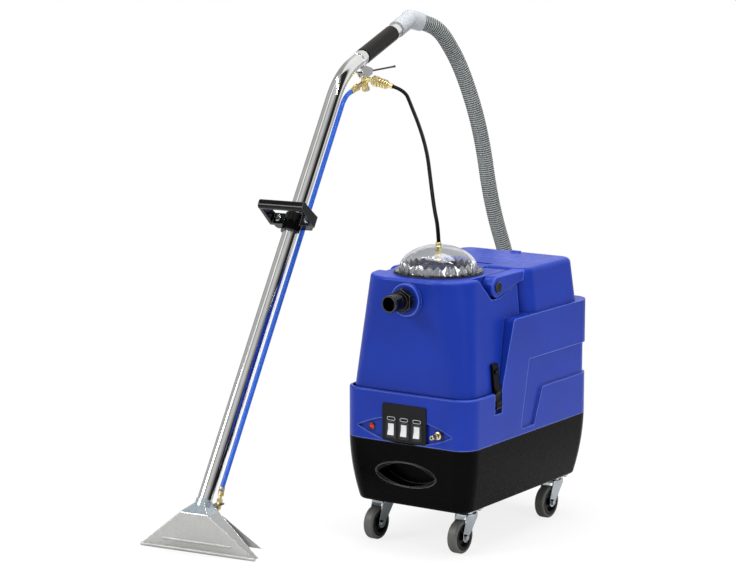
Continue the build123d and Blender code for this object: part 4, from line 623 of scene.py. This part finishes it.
def head_material():
    """Bead-blasted sheet steel, with a smoother, bluish neck above the shoulder."""
    s = Surface("stainless_matt", HEAD_PALE, 0.46, Metallic=0.6, Specular_IOR_Level=0.3)
    speckle = s.mix(s.ramp(s.noise(420, 2), 0, 1, 0.25, 0.75), HEAD_DARK, HEAD_PALE)
    split = s.nodes.new("ShaderNodeSeparateXYZ")
    s.links.new(s.place, split.inputs[0])
    # The shoulder's line runs a little lower towards the back.
    shoulder = wand_point(*SHOULDER_FRONT)
    height = s.math("ADD", split.outputs["Z"], s.math("MULTIPLY", split.outputs["Y"], SHOULDER_SLOPE))
    edge = shoulder.z + SHOULDER_SLOPE * shoulder.y
    neck = s.ramp(height, 0, 1, edge - 0.0005, edge + 0.0005)
    s.paint(s.mix(neck, speckle, NECK_BLUISH))
    s.roughen(s.math("SUBTRACT", s.ramp(s.noise(90, 3), 0.42, 0.55), s.math("MULTIPLY", neck, 0.2)))
    s.round_edges(0.0012)
    s.bump(s.noise(1300, 2), 0.00006)
    return s.material


BLUE = (0.0068, 0.0285, 0.285)
BLACK = (0.0012, 0.0012, 0.0012)

# The paler edge colours given below are painted highlights, and the blue's reach paints shade into its gaps.
blue_plastic = moulded("rotomoulded_blue", BLUE, 0.33, grain=650, depth=0.00005, edge=0.003, vary=0.08,
                       edge_highlight=(0.15, 0.22, 0.74), gap_shade_reach=0.008, Specular_IOR_Level=0.16)
black_plastic = moulded("rotomoulded_black", BLACK, 0.26, grain=500, depth=0.00006, edge=0.003, vary=0.3,
                        edge_highlight=(0.05, 0.05, 0.048), Specular_IOR_Level=0.03)
panel_black = moulded("panel_black", (0.01, 0.01, 0.011), 0.45, grain=1500, depth=0.00002, edge=0.0004,
                      Specular_IOR_Level=0.1)
gloss_black = moulded("gloss_black", (0.002, 0.002, 0.002), 0.12, depth=0.00002, edge=0.0018,
                      edge_highlight=(0.1, 0.1, 0.1), Specular_IOR_Level=0.2)
white_plastic = moulded("rocker_white", (0.68, 0.69, 0.7), 0.25, depth=0.00001, edge=0.0008, vary=0.03)
red_lens = moulded("lamp_red", (0.55, 0.01, 0.008), 0.12, edge=0.0004, depth=0.00001, vary=0.1)
brass = metal("brass", (0.74, 0.62, 0.3), 0.33, edge=0.0005, depth=0.00001)
gasket_grey = moulded("gasket_grey", (0.03, 0.03, 0.03), 0.4, grain=1200, edge=0.0008)
black_rubber = moulded("rubber_black", (0.002, 0.002, 0.002), 0.34, grain=1200, edge=0.001,
                       Specular_IOR_Level=0.08)
grip_black = moulded("grip_vinyl", (0.007, 0.006, 0.005), 0.26, Specular_IOR_Level=0.13)
zinc = metal("zinc_plate", (0.33, 0.36, 0.375), 0.17, grain=400, edge=0.0006, vary=0.12,
             edge_highlight=(0.85, 0.85, 0.85))
bright_plate = metal("bright_plate", (0.8, 0.8, 0.79), 0.13, grain=600, edge=0.0008, vary=0.08,
                     edge_highlight=(0.95, 0.95, 0.95))
stainless = metal("stainless_polished", (0.86, 0.86, 0.85), 0.075, grain=900, stretch=(1, 1, 0.06),
                  depth=0.00001)
matt_stainless = head_material()
bronze = moulded("bronze_lacquer", (0.05, 0.035, 0.022), 0.25, edge=0.0004)
blue_line = moulded("line_blue", (0.02, 0.1, 0.5), 0.22, depth=0.00001, edge=0.0, vary=0.05)
cuff_grey = moulded("cuff_grey", (0.32, 0.34, 0.355), 0.35, edge=0.001, vary=0.04)
# Lit and shaded copies of the hose's grey: painted highlight on the ridges, painted shade in the grooves.
hose_ridge_painted_light = moulded("hose_ridge_painted_light", (0.26, 0.28, 0.275), 0.38, depth=0.00003, edge=0.0, vary=0.06)
hose_groove_painted_shade = moulded("hose_groove_painted_shade", (0.035, 0.04, 0.038), 0.5, depth=0.00003, edge=0.0, vary=0.06)
hub_black = moulded("hub_black", (0.004, 0.004, 0.004), 0.35, edge=0.0008, Specular_IOR_Level=0.15)
tyre_grey = moulded("tyre_grey", (0.075, 0.074, 0.068), 0.5, grain=800, edge=0.001)
inner_metal = metal("motor_metal", (0.3, 0.31, 0.33), 0.4)


ACRYLIC_IOR = 1.49
FLUTES = 30
FLUTES_HEIGHT = 0.024


def clear_material(centre):
    """Clear moulded dome, with upright flutes around its foot that bend what is seen through them."""
    s = Surface("dome_clear", (0.9, 0.91, 0.92), 0.03, IOR=ACRYLIC_IOR, Transmission_Weight=1.0)
    s.roughen(s.ramp(s.noise(30, 3), 0.012, 0.04))
    shift = s.nodes.new("ShaderNodeVectorMath")
    shift.operation = "SUBTRACT"
    shift.inputs[1].default_value = centre
    s.links.new(s.place, shift.inputs[0])
    split = s.nodes.new("ShaderNodeSeparateXYZ")
    s.links.new(shift.outputs["Vector"], split.inputs[0])
    around = s.math("ARCTAN2", split.outputs["Y"], split.outputs["X"])
    flutes = s.math("SINE", s.math("MULTIPLY", around, float(FLUTES)))
    low = s.ramp(split.outputs["Z"], 1, 0, 0.0, FLUTES_HEIGHT)
    s.bump(s.math("MULTIPLY", flutes, low), 0.0016)
    s.bump(s.noise(14, 2), 0.0005)
    return s.material


dome_clear = clear_material((*dome_centre, dome_low[2]))
# Half mirror-like, which a clear moulding isn't, to stand for the glints of the photo's facets.
facet_clear = metal("dome_facet", (0.5, 0.5, 0.52), 0.04, grain=60, depth=0.0, share=0.5, IOR=ACRYLIC_IOR,
                    Transmission_Weight=1.0)

LOOKS = {
    blue_plastic: ["body_shell", "recovery_tank", "rear_hood", "filler_lid"],
    black_plastic: ["base_tub", "power_inlet"],
    gloss_black: ["switch_bezels", "d_handle", "handle_clamp", "vacuum_inlet", "hinge_pins", "trigger_lever"],
    panel_black: ["control_plate"],
    white_plastic: ["rocker_1", "rocker_2", "rocker_3", "float_cage", "float_ball"],
    red_lens: ["pilot_lamp"],
    brass: ["solution_nipple", "dome_fitting", "spray_jet", "valve_body", "quick_coupler"],
    gasket_grey: ["dome_gasket"],
    black_rubber: ["latch_strap_right", "latch_strap_left", "latch_keepers"],
    grip_black: ["grip_sleeve"],
    zinc: ["latch_anchors", "caster_plates", "caster_bolts", "clamp_bolts"]
    + [f"caster_fork_{i}" for i in range(1, 5)],
    bright_plate: ["valve_bracket"],
    hub_black: [f"caster_hub_{i}" for i in range(1, 5)],
    tyre_grey: [f"caster_tyre_{i}" for i in range(1, 5)],
    stainless: ["wand_tube"],
    matt_stainless: ["wand_head", "spray_shroud"],
    bronze: ["jet_bracket"],
    blue_line: ["wand_solution_line"],
    cuff_grey: ["hose_cuff", "hose_end_cuff"],
    inner_metal: ["vacuum_motor", "motor_impeller", "solution_pump"],
    dome_clear: ["dome_lid"],
}
for material, nodes in LOOKS.items():
    for node in nodes:
        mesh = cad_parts[node].data
        mesh.materials.clear()
        mesh.materials.append(material)
TRIM_LOOKS = {
    hose_ridge_painted_light: [vacuum_hose],
    hose_groove_painted_shade: [vacuum_hose],
    black_rubber: [solution_hose, *latch_rolls],
    white_plastic: pills,
    bright_plate: beads,
    hub_black: covers,
    facet_clear: [dome_facets],
    gloss_black: [lamp_bezel_and_shade, recess_lip],
}
for material, pieces in TRIM_LOOKS.items():
    for piece in pieces:
        piece.data.materials.append(material)
# The groove steps take the painted shade, the others the painted highlight.
for face in vacuum_hose.data.polygons:
    face.material_index = 1 if (face.index // HOSE_SIDES) % len(RIB_DIPS) in RIB_GROOVE else 0


# ---------------------------------------------------------------- stage and light
def ray_share(tree, outputs):
    """1 for the kinds of ray named in outputs, 0 for the rest."""
    path = tree.nodes.new("ShaderNodeLightPath")
    total = path.outputs[outputs[0]]
    for name in outputs[1:]:
        node = tree.nodes.new("ShaderNodeMath")
        node.operation = "MAXIMUM"
        tree.links.new(total, node.inputs[0])
        tree.links.new(path.outputs[name], node.inputs[1])
        total = node.outputs[0]
    return total


def shader_mix(tree, share, a, b):
    mix = tree.nodes.new("ShaderNodeMixShader")
    tree.links.new(share, mix.inputs[0])
    tree.links.new(a, mix.inputs[1])
    tree.links.new(b, mix.inputs[2])
    return mix.outputs[0]


# Brightness of the studio's walls as every reflection of the world sees them, in metal, plastic and the
# dome's surface alike, by compass direction from -180 degrees. Picked for the photo's view of the tube.
WALLS = [
    (-180, 0.5), (-166, 0.45), (-134, 0.4), (-128, 1.0), (-108, 1.0), (-103, 0.3), (-84, 0.32), (-78, 0.6),
    (-40, 0.6), (-22, 0.5), (-15, 0.28), (0, 0.2), (6, 0.02), (36, 0.02), (45, 0.85), (100, 0.95),
    (122, 0.85), (140, 0.4), (165, 0.3), (180, 0.5),
]


def wall_brightness(tree):
    """A grey that depends on the compass direction of the ray."""
    place = tree.nodes.new("ShaderNodeTexCoord").outputs["Generated"]
    split = tree.nodes.new("ShaderNodeSeparateXYZ")
    tree.links.new(place, split.inputs[0])
    angle = tree.nodes.new("ShaderNodeMath")
    angle.operation = "ARCTAN2"
    tree.links.new(split.outputs["Y"], angle.inputs[0])
    tree.links.new(split.outputs["X"], angle.inputs[1])
    ramp = tree.nodes.new("ShaderNodeValToRGB")
    stops = ramp.color_ramp.elements
    while len(stops) < len(WALLS):
        stops.new(0.5)
    for stop, (direction, grey) in zip(stops, WALLS):
        stop.position = (direction + 180) / 360
        stop.color = (grey, grey, grey, 1)
    tree.links.new(map_range(tree, angle.outputs[0], -pi, pi, 0, 1), ramp.inputs["Fac"])
    return ramp.outputs["Color"]


def make_world():
    """Plain light on the object, the walls' greys in reflections, and white where it is seen directly."""
    world = bpy.data.worlds.new("studio")
    bpy.context.scene.world = world
    world.use_nodes = True
    tree = world.node_tree
    lit = tree.nodes["Background"]
    lit.inputs["Color"].default_value = (0.95, 0.97, 1, 1)
    lit.inputs["Strength"].default_value = 0.45
    walls = tree.nodes.new("ShaderNodeBackground")
    tree.links.new(wall_brightness(tree), walls.inputs["Color"])
    seen = tree.nodes.new("ShaderNodeBackground")
    seen.inputs["Color"].default_value = (1, 1, 1, 1)
    out = shader_mix(tree, ray_share(tree, ["Is Glossy Ray"]), lit.outputs[0], walls.outputs[0])
    out = shader_mix(tree, ray_share(tree, ["Is Camera Ray", "Is Transmission Ray"]), out, seen.outputs[0])
    tree.links.new(out, tree.nodes["World Output"].inputs["Surface"])


FLOOR_SIZE = 30
# The fade starts and ends at these distances from the frame's origin, from one share of white to the other.
FADE_FROM, FADE_TO = 0.5, 1.5
WHITE_NEAR, WHITE_FAR = 0.82, 1.0


def make_floor():
    """A pale floor that takes the object's shadow near it and fades to plain white away from it."""
    corners = [(-FLOOR_SIZE, -FLOOR_SIZE, 0), (FLOOR_SIZE, -FLOOR_SIZE, 0),
               (FLOOR_SIZE, FLOOR_SIZE, 0), (-FLOOR_SIZE, FLOOR_SIZE, 0)]
    floor = mesh_piece("floor", corners, [(0, 1, 2, 3)])
    material = bpy.data.materials.new("floor_pale")
    material.use_nodes = True
    tree = material.node_tree
    lit = tree.nodes["Principled BSDF"]
    lit.inputs["Base Color"].default_value = (0.85, 0.85, 0.85, 1)
    lit.inputs["Roughness"].default_value = 0.9
    seen = tree.nodes.new("ShaderNodeEmission")
    seen.inputs["Strength"].default_value = 1.0
    place = tree.nodes.new("ShaderNodeTexCoord").outputs["Object"]
    away = tree.nodes.new("ShaderNodeVectorMath")
    away.operation = "LENGTH"
    tree.links.new(place, away.inputs[0])
    fade = map_range(tree, away.outputs["Value"], FADE_FROM, FADE_TO, WHITE_NEAR, WHITE_FAR)
    share = tree.nodes.new("ShaderNodeMath")
    share.operation = "MULTIPLY"
    tree.links.new(fade, share.inputs[0])
    tree.links.new(ray_share(tree, ["Is Camera Ray"]), share.inputs[1])
    tree.links.new(shader_mix(tree, share.outputs[0], lit.outputs[0], seen.outputs[0]),
                   tree.nodes["Material Output"].inputs["Surface"])
    floor.data.materials.append(material)


def area_light(name, place, target, size, power):
    """A white rectangular lamp at a place, facing a target."""
    data = bpy.data.lights.new(name, "AREA")
    data.shape = "RECTANGLE"
    data.size, data.size_y = size
    data.energy = power
    light = bpy.data.objects.new(name, data)
    bpy.context.collection.objects.link(light)
    light.location = place
    light.rotation_euler = (Vector(target) - Vector(place)).to_track_quat("-Z", "Y").to_euler()
    return light


make_world()
make_floor()
# Only the key and the two strips show in reflections.
area_light("key", (-2.2, -3.4, 3.0), (0, 0, 0.5), (1.6, 1.6), 105)
area_light("side", (4.0, -1.2, 2.0), (0, 0, 0.5), (1.2, 2.4), 80).visible_glossy = False
area_light("top", (0.2, 0.4, 3.6), (0.1, 0, 0.5), (2.0, 2.0), 95).visible_glossy = False
area_light("strip_left", (-0.35, -0.1, 2.5), (0.1, -0.2, 0.6), (0.05, 1.3), 9)
area_light("strip_right", (0.62, -0.1, 2.5), (0.3, -0.2, 0.6), (0.05, 1.3), 9)

bpy.context.scene.view_settings.view_transform = "Standard"
